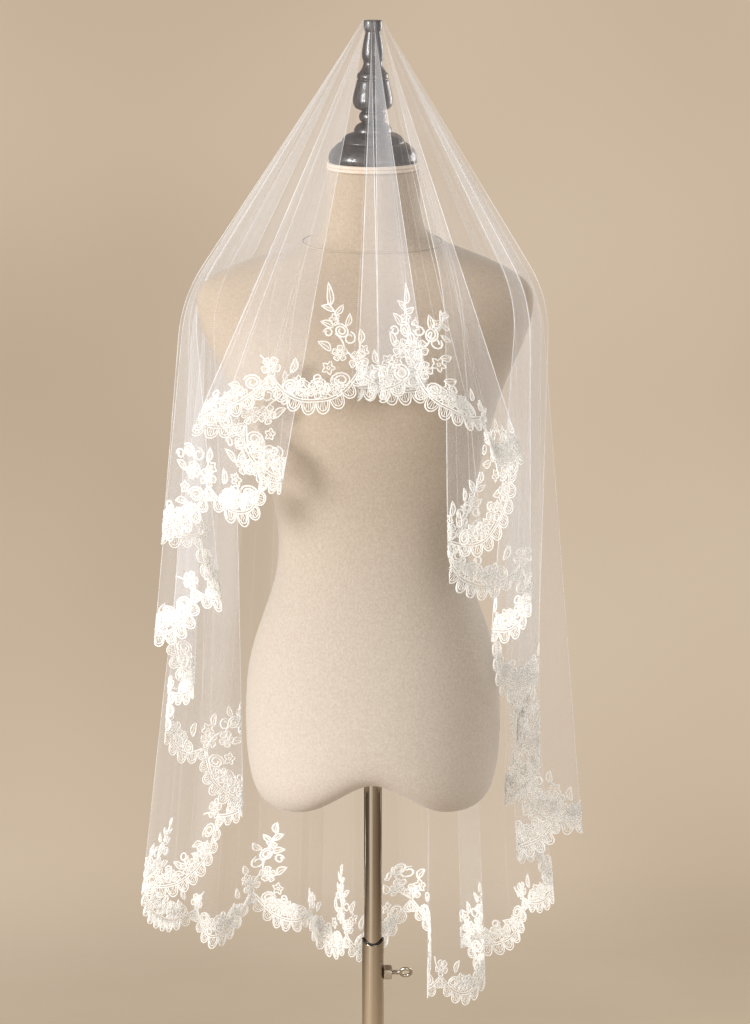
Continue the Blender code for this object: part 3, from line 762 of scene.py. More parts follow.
# How densely the net is gathered, at places counted in folds: 1 is the net lying flat
GATHERS = (
    (0.0, 2.2), (0.9, 2.4), (1.6, 1.4), (3.2, 1.2), (3.6, 0.8), (4.3, 0.9),
    (5.0, 1.2), (7.0, 1.3), (9.5, 1.2), (11.0, 1.1), (12.0, 1.5), (19.0, 1.5),
    (22.0, 0.9), (27.0, 0.8), (32.0, 0.9), (36.0, 1.2), (39.0, 1.3), (44.0, 1.2),
    (47.0, 1.4), (49.5, 1.1), (50.0, 1.3), (51.0, 2.2),
)


@dataclass
class Drape:
    """The veil's surface as rulings, which run from the cap over the shoulders to the hem."""

    shoulder_level: float = 1.400
    cap_radius: float = 0.0122
    cap_side_drop: float = 0.0025
    cap_gap: float = 0.0013
    shoulder_rounding: float = 0.045
    back_bulge: float = 0.026
    columns_per_fold: int = 11
    line_half_width: float = 0.8 * MILLIMETRE
    fold_line: float = 0.95
    line_fade: float = 0.50
    neck_top: Vector = field(default_factory=lambda: Vector((0.0, -0.012, 1.5525)))
    neck_tilt: float = math.radians(10)
    finial_height: float = 0.157
    bend_closeness: float = 1.4
    line_clearance: float = 2.2
    least_fold_line: float = 0.12
    crease_narrowest: float = 0.08
    crease_growth: float = 0.25
    crease_ending: float = 0.2
    crease_loss: float = 0.6

    def __post_init__(self) -> None:
        """Lay out the rulings between the shoulder's folded line and the hem's."""
        self.folds = len(VEIL_FOLDS)
        top = self.tilted_frame() @ Matrix.Translation((0, 0, self.finial_height + self.cap_gap))
        self.top = np.array(top)
        level = self.shoulder_level
        self.corners_shoulder = np.array([(f.shoulder_x, f.shoulder_y, level) for f in VEIL_FOLDS])
        corners_hem = np.array([(f.hem_x, f.hem_y, f.hem_z) for f in VEIL_FOLDS])
        self.place = self.places()
        self.shoulder = self.section(self.corners_shoulder, self.place)
        self.hem = self.section(corners_hem, self.place)
        self.angle = math.tau * (self.place - FRONT_FOLD) / self.folds
        self.back = ((1 - np.cos(self.angle)) / 2) ** 2
        self.fall = np.linalg.norm(self.hem - self.shoulder, axis=1)
        self.hem_arc, self.hem_length = self.arc(self.hem)
        self.shoulder_arc, _ = self.arc(self.shoulder)

    def tilted_frame(self) -> Matrix:
        """The frame of the neck's top, which leans forwards."""
        return Matrix.Translation(self.neck_top) @ Matrix.Rotation(self.neck_tilt, 4, "X")

    def line_step(self, place: float) -> float:
        """How far the pressed line at a place reaches to each side.

        Args:
            place: where the line stands, in folds.

        Returns:
            The reach, in folds.
        """
        side = int(math.floor(place)) % self.folds
        span = np.linalg.norm(self.corners_shoulder[(side + 1) % self.folds] - self.corners_shoulder[side])
        return self.line_half_width / span

    def places(self) -> np.ndarray:
        """Where the rulings stand: closest at the bends, and at each pressed line.

        Returns:
            Each ruling's place, in folds.
        """
        even = np.linspace(-1, 1, self.columns_per_fold, endpoint=False)
        offsets = 0.5 * np.sign(even) * np.abs(even) ** self.bend_closeness
        found = [float(k + o) for k in range(self.folds) for o in offsets]
        lines = [float(k) for k in range(self.folds)] + [c.place for c in CREASES]
        for line in lines:
            step = self.line_step(line + 1e-6)
            found = [p for p in found if abs(p - line) > self.line_clearance * step]
            found += [line - step, line, line + step]
        return np.array(sorted((p + 0.5) % self.folds - 0.5 for p in found))

    def section(self, corners: np.ndarray, place: np.ndarray) -> np.ndarray:
        """The folded line through the corners, with each corner rounded by its softness.

        Args:
            corners: a corner for each fold.
            place: where along the line to look, in folds.

        Returns:
            A point for each place.
        """
        nearest = np.round(place).astype(int)
        away = (place - nearest)[:, None]
        corner = corners[nearest % self.folds]
        before = corners[(nearest - 1) % self.folds]
        after = corners[(nearest + 1) % self.folds]
        soft = np.array([f.softness for f in VEIL_FOLDS])[nearest % self.folds][:, None]
        start, end = corner + soft * (before - corner), corner + soft * (after - corner)
        t = np.clip((away / soft + 1) / 2, 0, 1)
        bend = (1 - t) ** 2 * start + 2 * t * (1 - t) * corner + t**2 * end
        straight = corner + np.abs(away) * (np.where(away < 0, before, after) - corner)
        return np.where(np.abs(away) < soft, bend, straight)

    def arc(self, line: np.ndarray) -> tuple[np.ndarray, float]:
        """Distance along a closed line at each point, and its whole length."""
        steps = np.linalg.norm(np.roll(line, -1, axis=0) - line, axis=1)
        return np.concatenate([[0], np.cumsum(steps)[:-1]]), float(steps.sum())

    def rim(self, radius: float, height: float) -> np.ndarray:
        """A ring round the finial's top, square to it.

        Args:
            radius: the ring's radius.
            height: how far it lies above the top.

        Returns:
            A point for each ruling, one a row.
        """
        across, along = -radius * np.sin(self.angle), -radius * np.cos(self.angle)
        ring = np.stack([across, along, np.full_like(across, height), np.ones_like(across)], axis=1)
        return (ring @ self.top.T)[:, :3]

    def ruling(self, down: np.ndarray) -> np.ndarray:
        """Points of every ruling.

        Args:
            down: for each ruling, or once for all, how far down it lies: -1 at the cap's edge,
                0 at the shoulder and 1 at the hem.

        Returns:
            A point for each ruling.
        """
        down = np.broadcast_to(down, self.fall.shape)
        rim = self.rim(self.cap_radius, -self.cap_side_drop)
        share = np.clip(1 + down, 0, 1)[:, None]
        cone = rim + share * (self.shoulder - rim)
        cone[:, 1] += self.back_bulge * 4 * share[:, 0] * (1 - share[:, 0]) * self.back
        falling = self.shoulder + np.clip(down, 0, None)[:, None] * (self.hem - self.shoulder)
        length = np.linalg.norm(self.shoulder - rim, axis=1)
        travel = np.where(down < 0, down * length, down * self.fall)
        t = np.clip((travel / self.shoulder_rounding + 1) / 2, 0, 1)[:, None]
        start_share = 1 - (self.shoulder_rounding / length)[:, None]
        start = rim + start_share * (self.shoulder - rim)
        start[:, 1] += self.back_bulge * 4 * start_share[:, 0] * (1 - start_share[:, 0]) * self.back
        end = self.shoulder + (self.shoulder_rounding / self.fall)[:, None] * (self.hem - self.shoulder)
        bend = (1 - t) ** 2 * start + 2 * t * (1 - t) * self.shoulder + t**2 * end
        bending = (np.abs(travel) < self.shoulder_rounding)[:, None]
        return np.where(bending, bend, np.where((down < 0)[:, None], cone, falling))

    def ridge_at(self, down: np.ndarray) -> np.ndarray:
        """How far the creases lift each ruling off its panel.

        Args:
            down: how far down the veil, from -1 at the cap over 0 at the shoulder to 1 at the hem.

        Returns:
            The lift of each ruling, in metres.
        """
        down = np.broadcast_to(down, self.fall.shape)
        share = (down + 1) / 2
        lift = np.zeros(len(self.place))
        for crease in CREASES:
            centre = np.interp(crease.place, self.place, self.shoulder_arc)
            away = self.shoulder_arc - centre
            width = crease.width * MILLIMETRE * np.clip(share * 2, self.crease_narrowest, 1.0)
            bump = np.exp(-((away * np.clip(share * 2, self.crease_narrowest, 1.0) / width) ** 2))
            shown = smooth_step(share, crease.start, crease.start + self.crease_growth)
            ending = smooth_step(share, crease.end - self.crease_ending, crease.end)
            shown = shown * (1 - self.crease_loss * ending)
            lift += crease.height * MILLIMETRE * bump * shown * np.clip(share * 2, 0, 1)
        return lift

    def grid(self, downs: np.ndarray) -> np.ndarray:
        """The creased surface at several ways down.

        Args:
            downs: a row for each level: one way down, or one for each ruling.

        Returns:
            Points by level and ruling.
        """
        flat = np.stack([self.ruling(down) for down in downs])
        lift = np.stack([self.ridge_at(down) for down in downs])
        return flat + lift[..., None] * self.normals(flat)

    def normals(self, grid: np.ndarray) -> np.ndarray:
        """The outward direction at each point of a grid that closes on itself.

        Args:
            grid: the points, in rows down the veil and columns round it.

        Returns:
            A unit vector for each point, in the same rows and columns.
        """
        along = np.roll(grid, -1, axis=1) - np.roll(grid, 1, axis=1)
        return unit(np.cross(along, np.gradient(grid, axis=0)))

    def line_strength(self) -> np.ndarray:
        """How strongly each ruling shows as a pressed line.

        Returns:
            A strength from 0 to 1 for each ruling.
        """
        strength = np.zeros(len(self.place))
        for k in range(self.folds):
            sharpness = self.fold_line * (1 - VEIL_FOLDS[k].softness / 0.5)
            strength[np.argmin(np.abs(self.place - k))] = max(sharpness, self.least_fold_line)
        for crease in CREASES:
            strength[np.argmin(np.abs(self.place - crease.place))] = crease.line
        return strength * (1 - self.line_fade * np.sqrt(self.back))


# ---- the lace edging


@dataclass
class LaceBand:
    """Lays flat lace on the drape, so that widths stay true along and square to the hem."""

    drape: Drape
    reach: float = 0.150
    step: float = 0.005
    smoothing: float = 0.09
    most_shift: float = 0.65
    least_square: float = 0.04

    def __post_init__(self) -> None:
        """Measure how far the lace shifts along the hem as it rises on slanting rulings."""
        drape = self.drape
        down = drape.hem - drape.shoulder
        up = -down / drape.fall[:, None]
        along = unit(np.roll(drape.hem, -1, axis=0) - np.roll(drape.hem, 1, axis=0))
        cosine = (along * up).sum(axis=1)
        shift = cosine / np.sqrt(np.maximum(1 - cosine**2, self.least_square))
        self.shift = self.smoothed(np.clip(shift, -self.most_shift, self.most_shift))
        self.slant = np.sqrt(1 + self.shift**2)
        levels = int(round(self.reach / self.step)) + 1
        self.levels = np.arange(levels) * self.step
        self.points = drape.grid(np.stack([1 - level / drape.fall for level in self.levels]))
        self.outward = -drape.normals(self.points)
        self.along_at = np.stack([self.level_arc(level) for level in self.levels])

    def smoothed(self, values: np.ndarray) -> np.ndarray:
        """Even out values along the hem over a length of it.

        Args:
            values: a value for each ruling.

        Returns:
            The evened values, one for each ruling.
        """
        arc, length = self.drape.hem_arc, self.drape.hem_length
        weights = np.empty(len(values))
        steps = np.diff(np.append(arc, length))
        for i, at in enumerate(arc):
            away = (arc - at + length / 2) % length - length / 2
            weight = np.exp(-((away / self.smoothing) ** 2)) * steps
            weights[i] = (weight * values).sum() / weight.sum()
        return weights

    def level_arc(self, level: float) -> np.ndarray:
        """Where each ruling lies along the hem at this height above it."""
        return np.maximum.accumulate(self.drape.hem_arc + level * self.shift)

    def lay(self, flat: np.ndarray) -> np.ndarray:
        """Lay flat points on the cloth.

        Args:
            flat: along the hem, up from it and out from the net, in metres, one a row.

        Returns:
            The points in space.
        """
        count = len(self.drape.place)
        length = self.drape.hem_length
        height = np.clip(flat[:, 1], 0, self.reach - 2 * self.step) / self.step
        low = np.floor(height).astype(int)
        share = height - low
        columns = np.empty((2, len(flat)))
        index = np.arange(3 * count, dtype=float) - count
        for level in np.unique(low):
            here = low == level
            for k in (0, 1):
                arc = self.along_at[level + k]
                wide = np.concatenate([arc - length, arc, arc + length])
                columns[k, here] = np.interp(flat[here, 0], np.maximum.accumulate(wide), index)
        column = columns[0] * (1 - share) + columns[1] * share
        before = np.floor(column).astype(int)
        part = column - before
        slant = self.sampled(self.slant, before, part)
        distance = np.clip(flat[:, 1] * slant, 0, self.reach - 1.01 * self.step) / self.step
        row = np.floor(distance).astype(int)
        rise = (distance - row)[:, None]
        place = self.blend(self.points, row, rise, before, part)
        outward = unit(self.blend(self.outward, row, rise, before, part))
        sunk = np.minimum(flat[:, 1:2], 0)
        up = self.sampled(unit(self.points[1] - self.points[0]), before, part)
        return place + flat[:, 2:3] * outward + sunk * up

    def sampled(self, values: np.ndarray, before: np.ndarray, part: np.ndarray) -> np.ndarray:
        """Values between two rulings.

        Args:
            values: a value or a row for each ruling.
            before: the number of the ruling before each place.
            part: how far each place lies from it towards the next, from 0 to 1.

        Returns:
            A value or a row for each place.
        """
        count = len(self.drape.place)
        share = part if values.ndim == 1 else part[:, None]
        return values[before % count] * (1 - share) + values[(before + 1) % count] * share

    def blend(
        self, grid: np.ndarray, row: np.ndarray, rise: np.ndarray, before: np.ndarray, part: np.ndarray
    ) -> np.ndarray:
        """Values between two levels and two rulings.

        Args:
            grid: a row of values for each level and ruling.
            row: the number of the level below each place.
            rise: how far each place lies from it towards the next, from 0 to 1.
            before: the number of the ruling before each place.
            part: how far each place lies from it towards the next, from 0 to 1.

        Returns:
            A row for each place.
        """
        count = len(self.drape.place)
        left, right, share = before % count, (before + 1) % count, part[:, None]
        low = grid[row, left] * (1 - share) + grid[row, right] * share
        high = grid[row + 1, left] * (1 - share) + grid[row + 1, right] * share
        return low * (1 - rise) + high * rise


class MotifKind(Enum):
    """The shapes that the edging is worked from."""

    FLOWER = "five-petal flower"
    DAISY = "small daisy"
    LEAF = "outlined leaf"
    ROSE = "rose, an oval coil"
    CURL = "curled tendril"
    STEM = "bent stem"


FLOWER, DAISY, LEAF, ROSE, CURL, STEM = MotifKind


class Motif(NamedTuple):
    """One worked shape: how far along and up it stands, its size, and its turn in degrees.

    In a swag, along is a share of the swag and up is measured from the border cord; in a
    spray, both are measured from the foot of the cusp. Lengths are in millimetres."""

    kind: MotifKind
    along: float
    up: float
    size: float
    turn: float


SWAG_MOTIFS = tuple(Motif(*row) for row in (
    (FLOWER, 0.290, 11.0, 10.5, 10),
    (LEAF, 0.365, 6.0, 15.0, 70),
    (DAISY, 0.400, 7.0, 5.0, 20),
    (LEAF, 0.425, 8.0, 13.0, 120),
    (FLOWER, 0.490, 12.5, 11.0, 40),
    (CURL, 0.480, 24.5, 5.5, 200),
    (LEAF, 0.560, 5.0, 14.0, 40),
    (LEAF, 0.570, 12.0, 13.0, 75),
    (DAISY, 0.625, 6.5, 5.2, 5),
    (FLOWER, 0.690, 11.5, 10.0, 25),
    (CURL, 0.655, 19.0, 5.0, 20),
    (DAISY, 0.765, 8.0, 5.0, 50),
    (DAISY, 0.225, 7.0, 5.0, 0),
))
SPRAY_MOTIFS = tuple(Motif(*row) for row in (
    (STEM, 0.0, 2.0, 26.0, 70),
    (FLOWER, -3.0, 12.0, 11.5, 0),
    (ROSE, 19.0, 9.0, 11.0, 20),
    (ROSE, -22.0, 7.0, 10.0, 160),
    (DAISY, 31.0, 20.0, 7.0, 40),
    (DAISY, -34.0, 12.0, 6.5, 30),
    (LEAF, -24.0, 16.0, 18.0, 118),
    (LEAF, 34.0, 9.0, 17.0, 30),
    (LEAF, -37.0, 5.0, 15.0, 160),
    (FLOWER, 14.0, 28.0, 11.0, 30),
    (DAISY, -12.0, 25.0, 7.5, 10),
    (LEAF, -9.0, 30.0, 17.0, 122),
    (LEAF, 24.0, 30.0, 18.0, 58),
    (STEM, 8.0, 31.0, 20.0, 76),
    (CURL, 1.0, 38.0, 7.5, 100),
    (CURL, 24.0, 45.0, 6.0, 20),
    (ROSE, 10.0, 46.0, 9.5, 60),
    (LEAF, 3.0, 51.0, 15.0, 132),
    (LEAF, 16.0, 51.0, 16.0, 46),
    (STEM, 11.0, 52.0, 26.0, 84),
    (DAISY, 12.5, 60.0, 6.0, 15),
    (LEAF, 12.0, 64.0, 14.0, 142),
    (LEAF, 13.5, 67.0, 14.5, 46),
    (LEAF, 13.5, 75.0, 15.5, 97),
))


# The finishes of a length of lace, as its shapes count them
CORD, FILL = 0, 1


def heading(turn: float) -> tuple[np.ndarray, np.ndarray]:
    """The direction at a turn in radians, and the one square to it on its left."""
    axis = np.array([math.cos(turn), math.sin(turn)])
    return axis, np.array([-axis[1], axis[0]])


def left_of(line: np.ndarray, closed: bool = False) -> np.ndarray:
    """Which way is left along a flat line.

    Args:
        line: its points, one a row.
        closed: whether its end meets its start.

    Returns:
        A unit vector for each point.
    """
    steps = np.roll(line, -1, axis=0) - np.roll(line, 1, axis=0) if closed else np.gradient(line, axis=0)
    tangent = unit(steps)
    return np.stack([-tangent[:, 1], tangent[:, 0]], axis=1)


def loop(reach: np.ndarray, angle: np.ndarray) -> np.ndarray:
    """Flat points at these distances from the middle and at these angles."""
    return np.stack([reach * np.cos(angle), reach * np.sin(angle)], axis=1)


@dataclass
class FlatLace:
    """Lace worked flat: along the hem, up from it and out from the net, in millimetres."""

    thick_cord: float = 1.15
    thin_cord: float = 0.88
    lift: float = 0.9
    shell: Shell = field(default_factory=Shell)

    def cord(self, line: np.ndarray, radius: float, closed: bool = False, lift: float | None = None) -> None:
        """Lay a cord along a line.

        Args:
            line: the points that it follows, one a row.
            radius: half its thickness.
            closed: whether its end meets its start.
            lift: how far its middle stands out from the net.
        """
        lift = self.lift if lift is None else lift
        count = len(line)
        side = left_of(line, closed)
        ring = []
        for turn in (0.25, 0.75, 1.25, 1.75):
            across, out = radius * math.cos(turn * math.pi), radius * math.sin(turn * math.pi)
            ring.append(np.column_stack([line + across * side, np.full(count, lift + out)]))
        points = np.stack(ring, axis=1).reshape(-1, 3)
        quads = grid_faces(count, 4, looped=closed, inward=True)
        if not closed:
            last = (count - 1) * 4
            quads = np.concatenate([quads, [[3, 2, 1, 0], [last, last + 1, last + 2, last + 3]]])
        self.shell.add(points, quads, CORD)

    def panel(self, outline: np.ndarray, centre: np.ndarray, dome: float) -> None:
        """Fill an outline with a slightly domed patch of open stitches.

        Args:
            outline: the points round it.
            centre: its middle.
            dome: how far the middle stands out.
        """
        count = len(outline)
        rim = np.column_stack([outline, np.full(count, 0.4 * self.lift)])
        points = np.concatenate([rim, [[centre[0], centre[1], 0.4 * self.lift + dome]]])
        i = np.arange(count)
        self.shell.add(points, np.stack([i, (i + 1) % count, np.full(count, count)], axis=-1), FILL)

    def strip(self, one: np.ndarray, other: np.ndarray) -> None:
        """Fill between two lines.

        Args:
            one: the points of one line, one a row.
            other: as many points of the other line.
        """
        count = len(one)
        points = np.column_stack([np.concatenate([one, other]), np.full(2 * count, 0.5 * self.lift)])
        i = np.arange(count - 1)
        self.shell.add(points, np.stack([i, i + 1, count + i + 1, count + i], axis=-1), FILL)

    def flower(self, at: np.ndarray, size: float, turn: float) -> None:
        """Five outlined petals with radial stitches, round a ring.

        Args:
            at: the middle of the motif on the flat lace.
            size: its reach from there, in millimetres.
            turn: its direction, in radians.
        """
        q = np.linspace(0, math.tau, 11)[:-1]
        along = 0.5 - 0.5 * np.cos(q)
        reach = size * (0.26 + 0.74 * along - 0.09 * np.exp(-(((q - math.pi) / 0.6) ** 2)))
        width = size * 0.43 * np.sin(q) * (0.5 + 0.5 * along)
        for k in range(5):
            axis, across = heading(turn + k * math.tau / 5)
            outline = at + np.outer(reach, axis) + np.outer(width, across)
            self.cord(outline, self.thin_cord, closed=True)
            self.panel(outline, at + 0.62 * size * axis, 0.8)
            for lean in (-0.14, 0.14):
                root = at + size * (0.32 * axis + 0.3 * lean * across)
                tip = at + size * (0.78 * axis + lean * across)
                self.cord(np.stack([root, tip]), 0.5 * self.thin_cord, lift=1.3)
        self.ring(at, 0.19 * size, self.thin_cord)

    def ring(self, at: np.ndarray, size: float, radius: float) -> None:
        """A small filled ring.

        Args:
            at: its middle on the flat lace.
            size: its radius, in millimetres.
            radius: the radius of its cord, in millimetres.
        """
        outline = at + size * loop(1.0, round_angles(6))
        self.cord(outline, radius, closed=True, lift=1.5)
        self.panel(outline, at, 1.2)

    def daisy(self, at: np.ndarray, size: float, turn: float) -> None:
        """A small flower: one lobed outline round a ring.

        Args:
            at: the middle of the motif on the flat lace.
            size: its reach from there, in millimetres.
            turn: its direction, in radians.
        """
        q = round_angles(20)
        outline = at + loop(size * (0.82 + 0.26 * np.cos(5 * q)), q + turn)
        self.cord(outline, self.thin_cord, closed=True)
        self.panel(outline, at, 0.6)
        self.ring(at, 0.26 * size, 0.7 * self.thin_cord)

    def leaf(self, at: np.ndarray, size: float, turn: float) -> None:
        """A pointed leaf on a short stalk, with a vein.

        Args:
            at: the foot of the motif on the flat lace.
            size: its length, in millimetres.
            turn: its direction, in radians.
        """
        s = np.linspace(0, 1, 7)
        bend = 0.12 * size * np.sin(math.pi * s)
        half = 0.21 * size * np.sin(math.pi * s**0.85)
        axis, across = heading(turn)
        spine = at + np.outer(s * size, axis) + np.outer(bend, across)
        upper = spine + half[:, None] * across
        lower = spine - half[:, None] * across
        outline = np.concatenate([upper, lower[-2:0:-1]])
        self.cord(outline, self.thin_cord, closed=True)
        self.panel(outline, spine[3], 0.3)
        self.cord(spine[[0, 2, 5]], 0.55 * self.thin_cord, lift=1.2)

    def rose(self, at: np.ndarray, size: float, turn: float) -> None:
        """An oval coil of cord on a filled patch.

        Args:
            at: the middle of the motif on the flat lace.
            size: its reach from there, in millimetres.
            turn: its direction, in radians.
        """
        q = np.linspace(0, 2.1 * math.tau, 25)
        reach = size * (1 - 0.36 * q / math.tau)
        coil = at + loop(reach, q) * (1.0, 0.78) @ np.stack(heading(turn))
        self.cord(coil, self.thick_cord)
        self.panel(coil[:12], at, 0.5)

    def curl(self, at: np.ndarray, size: float, turn: float) -> None:
        """A tendril that curls in on itself.

        Args:
            at: the middle of the motif on the flat lace.
            size: its reach from there, in millimetres.
            turn: its direction, in radians.
        """
        q = np.linspace(0, 1.15 * math.tau, 12)
        reach = size * (1 - 0.55 * q / (1.15 * math.tau))
        self.cord(at + loop(reach, q + turn), self.thick_cord)

    def stem(self, at: np.ndarray, size: float, turn: float) -> None:
        """A stem with a slight bend.

        Args:
            at: the foot of the motif on the flat lace.
            size: its length, in millimetres.
            turn: its direction, in radians.
        """
        s = np.linspace(0, 1, 6)
        axis, across = heading(turn)
        bend = 0.1 * size * np.sin(math.pi * s)
        self.cord(at + np.outer(s * size, axis) + np.outer(bend, across), self.thick_cord)

    def work(self, motif: Motif, at: np.ndarray, mirror: float) -> None:
        """Work one motif.

        Args:
            motif: its kind, size and direction.
            at: its place on the flat lace.
            mirror: 1, or -1 where it is worked left for right.
        """
        turn = math.radians(motif.turn)
        turn = turn if mirror > 0 else math.pi - turn
        {
            FLOWER: self.flower,
            DAISY: self.daisy,
            LEAF: self.leaf,
            ROSE: self.rose,
            CURL: self.curl,
            STEM: self.stem,
        }[motif.kind](at, motif.size, turn)

    def scallop(self, foot: np.ndarray, out: np.ndarray, width: float, depth: float) -> None:
        """One half-oval loop of the hem: two cords side by side, and holes split by bars.

        Args:
            foot: its middle on the border cord.
            out: the direction that it hangs in.
            width: its width along the border.
            depth: how far it hangs.
        """
        across = np.array([-out[1], out[0]])
        turn = np.linspace(0, math.pi, 11)
        x, y = -np.cos(turn) * width / 2, np.sin(turn) ** 0.75 * depth
        outer = foot + np.outer(x, across) + np.outer(y, out)
        inner = foot + np.outer(0.72 * x, across) + np.outer(0.76 * y, out)
        self.cord(outer, self.thin_cord)
        self.cord(inner, 0.7 * self.thin_cord)
        for k, root in ((3, -0.10), (5, 0.0), (7, 0.10)):
            self.cord(np.stack([foot + root * width * across, inner[k]]), 0.5 * self.thin_cord)


class SprayHeight(Enum):
    """How far up from its cusp a spray reaches, in millimetres."""

    LOW = 18.0
    MIDDLE = 50.0
    TALL = 95.0


LOW, MIDDLE, TALL = SprayHeight


class Cusp(NamedTuple):
    """One cusp between two swags: its place, counted in folds, its spray's height, how far
    the spray leans for each millimetre up, and how much higher, in millimetres, the middle
    of the swag after it hangs."""

    place: float
    height: SprayHeight
    lean: float = 0.10
    raised: float = 0.0


CUSPS = tuple(Cusp(*row) for row in (
    (1.25, TALL, -0.15, 12.0),
    (3.27, TALL, 0.22),
    (4.45, LOW),
    (6.35, TALL),
    (7.45, TALL),
    (8.90, MIDDLE),
    (10.7, LOW),
    (12.2, LOW),
    (13.1, LOW),
    (14.5, LOW),
    (15.9, TALL),
    (17.3, LOW),
    (18.8, TALL),
    (20.2, LOW),
    (21.9, TALL),
    (23.3, LOW),
    (24.8, TALL),
    (26.2, MIDDLE),
    (28.3, LOW),
    (30.9, TALL),
    (32.5, LOW),
    (33.6, LOW),
    (34.8, TALL),
    (35.9, LOW),
    (37.6, TALL),
    (39.1, LOW),
    (41.2, LOW),
    (43.6, LOW),
    (45.4, TALL),
    (47.0, MIDDLE),
    (49.1, LOW),
    (50.55, TALL, -0.42, 8.0),
))


@dataclass
class LaceEdging:
    """The corded edging: swags of scallops along the hem, flowers on them, and a floral
    spray at each cusp between two swags."""

    band: LaceBand
    cord_finish: Material
    fill_finish: Material
    border_low: float = 15.0
    cusp_rise: float = 30.0
    scallop_width: float = 14.5
    scallop_depth: float = 14.0
    cusp_scallop_depth: float = 9.0
    border_step: float = 3.0
    cord_gap: float = 1.4
    fewest_scallops: int = 5
    scallop_fill: float = 0.97
    scallop_hang: float = 0.25
    free_height: float = 40.0
    swag_slack: float = 0.8
    spray_slack: float = 0.7
    size_slack: float = 0.05
    turn_slack: float = 7.0
    sections: tuple[str, ...] = ("front_right", "right_side", "back", "left_side", "front_left")

    def __post_init__(self) -> None:
        """Find where each cusp stands along the hem, in its order round it."""
        drape = self.band.drape
        places = [cusp.place - drape.folds * (cusp.place > drape.place[-1]) for cusp in CUSPS]
        arcs = np.interp(places, drape.place, drape.hem_arc) / MILLIMETRE
        order = np.argsort(arcs)
        self.cusps = arcs[order]
        self.worked = [CUSPS[i] for i in order]
        self.raised = np.array([cusp.raised for cusp in self.worked])
        self.length = drape.hem_length / MILLIMETRE

    def border(self, share: np.ndarray, raised: np.ndarray) -> np.ndarray:
        """Height of the border cord above the hem, at a share of the way along a swag."""
        dip = np.sin(math.pi * share)
        return self.border_low + raised * dip + self.cusp_rise * (1 - dip) ** 1.5

    def border_at(self, along: np.ndarray) -> np.ndarray:
        """Height of the border cord above the hem.

        Args:
            along: distances along the hem, in millimetres.

        Returns:
            The height at each distance, in millimetres.
        """
        ends = np.concatenate([self.cusps, self.cusps[:1] + self.length])
        place = self.cusps[0] + (along - self.cusps[0]) % self.length
        cell = np.clip(np.searchsorted(ends, place, side="right") - 1, 0, len(self.cusps) - 1)
        return self.border((place - ends[cell]) / (ends[cell + 1] - ends[cell]), self.raised[cell])

    def swag(
        self, lace: FlatLace, start: float, end: float, raised: float, mirror: float,
        chance: np.random.Generator,
    ) -> None:
        """Work one swag: its border cords, scallops and flowers.

        Args:
            lace: the flat lace that takes it.
            start: where it starts along the hem, in millimetres.
            end: where it ends.
            raised: how far its middle is raised.
            mirror: 1, or -1 where it is worked left for right.
            chance: the unevenness of handwork.
        """
        width = end - start
        share = np.linspace(0, 1, int(width / self.border_step) + 1)
        line = np.stack([start + share * width, self.border(share, raised)], axis=1)
        side = left_of(line)
        for away in (-self.cord_gap, self.cord_gap):
            lace.cord(line + away * side, lace.thin_cord)
        lace.strip(line + self.cord_gap * side, line - self.cord_gap * side)
        steps = np.linalg.norm(np.diff(line, axis=0), axis=1)
        arc = np.concatenate([[0], np.cumsum(steps)])
        count = max(self.fewest_scallops, round(arc[-1] / self.scallop_width))
        for k in range(count):
            at = (k + 0.5) / count * arc[-1]
            foot, normal = (np.array([np.interp(at, arc, axis) for axis in rows.T]) for rows in (line, -side))
            out = (1 - self.scallop_hang) * normal + np.array([0.0, -self.scallop_hang])
            out /= np.linalg.norm(out)
            middle = math.sin(math.pi * (foot[0] - start) / width)
            depth = self.cusp_scallop_depth + (self.scallop_depth - self.cusp_scallop_depth) * middle
            lace.scallop(foot + out * self.cord_gap, out, self.scallop_fill * arc[-1] / count, depth)
        for motif in SWAG_MOTIFS:
            place = motif.along if mirror > 0 else 1 - motif.along
            at = np.array([start + place * width, float(self.border(place, raised)) + motif.up])
            lace.work(self.varied(motif, chance), at + chance.normal(0, self.swag_slack, 2), mirror)

    def spray(
        self, lace: FlatLace, cusp: float, height: float, lean: float, mirror: float,
        chance: np.random.Generator,
    ) -> None:
        """Work the floral spray over one cusp.

        Args:
            lace: the flat lace that takes it.
            cusp: where the cusp stands along the hem, in millimetres.
            height: how high the spray reaches, in millimetres.
            lean: how far it leans along the hem for each millimetre up.
            mirror: 1, or -1 where it is worked left for right.
            chance: the unevenness of handwork.
        """
        foot = self.border_low + self.cusp_rise
        for motif in SPRAY_MOTIFS:
            if motif.up > height:
                continue
            along = (motif.along + lean * motif.up) * mirror
            drop = foot - float(self.border_at(np.array([cusp + along]))[0])
            low = max(0.0, 1 - motif.up / self.free_height) * drop
            at = np.array([cusp + along, foot + motif.up - low])
            worked = self.varied(motif, chance)
            worked = worked._replace(turn=worked.turn - math.degrees(math.atan(lean)))
            lace.work(worked, at + chance.normal(0, self.spray_slack, 2), mirror)

    def varied(self, motif: Motif, chance: np.random.Generator) -> Motif:
        """The motif with the small unevenness of handwork.

        Args:
            motif: the even motif.
            chance: the unevenness.

        Returns:
            The motif as it is worked.
        """
        size = motif.size * (1 + chance.normal(0, self.size_slack))
        return motif._replace(size=size, turn=motif.turn + chance.normal(0, self.turn_slack))

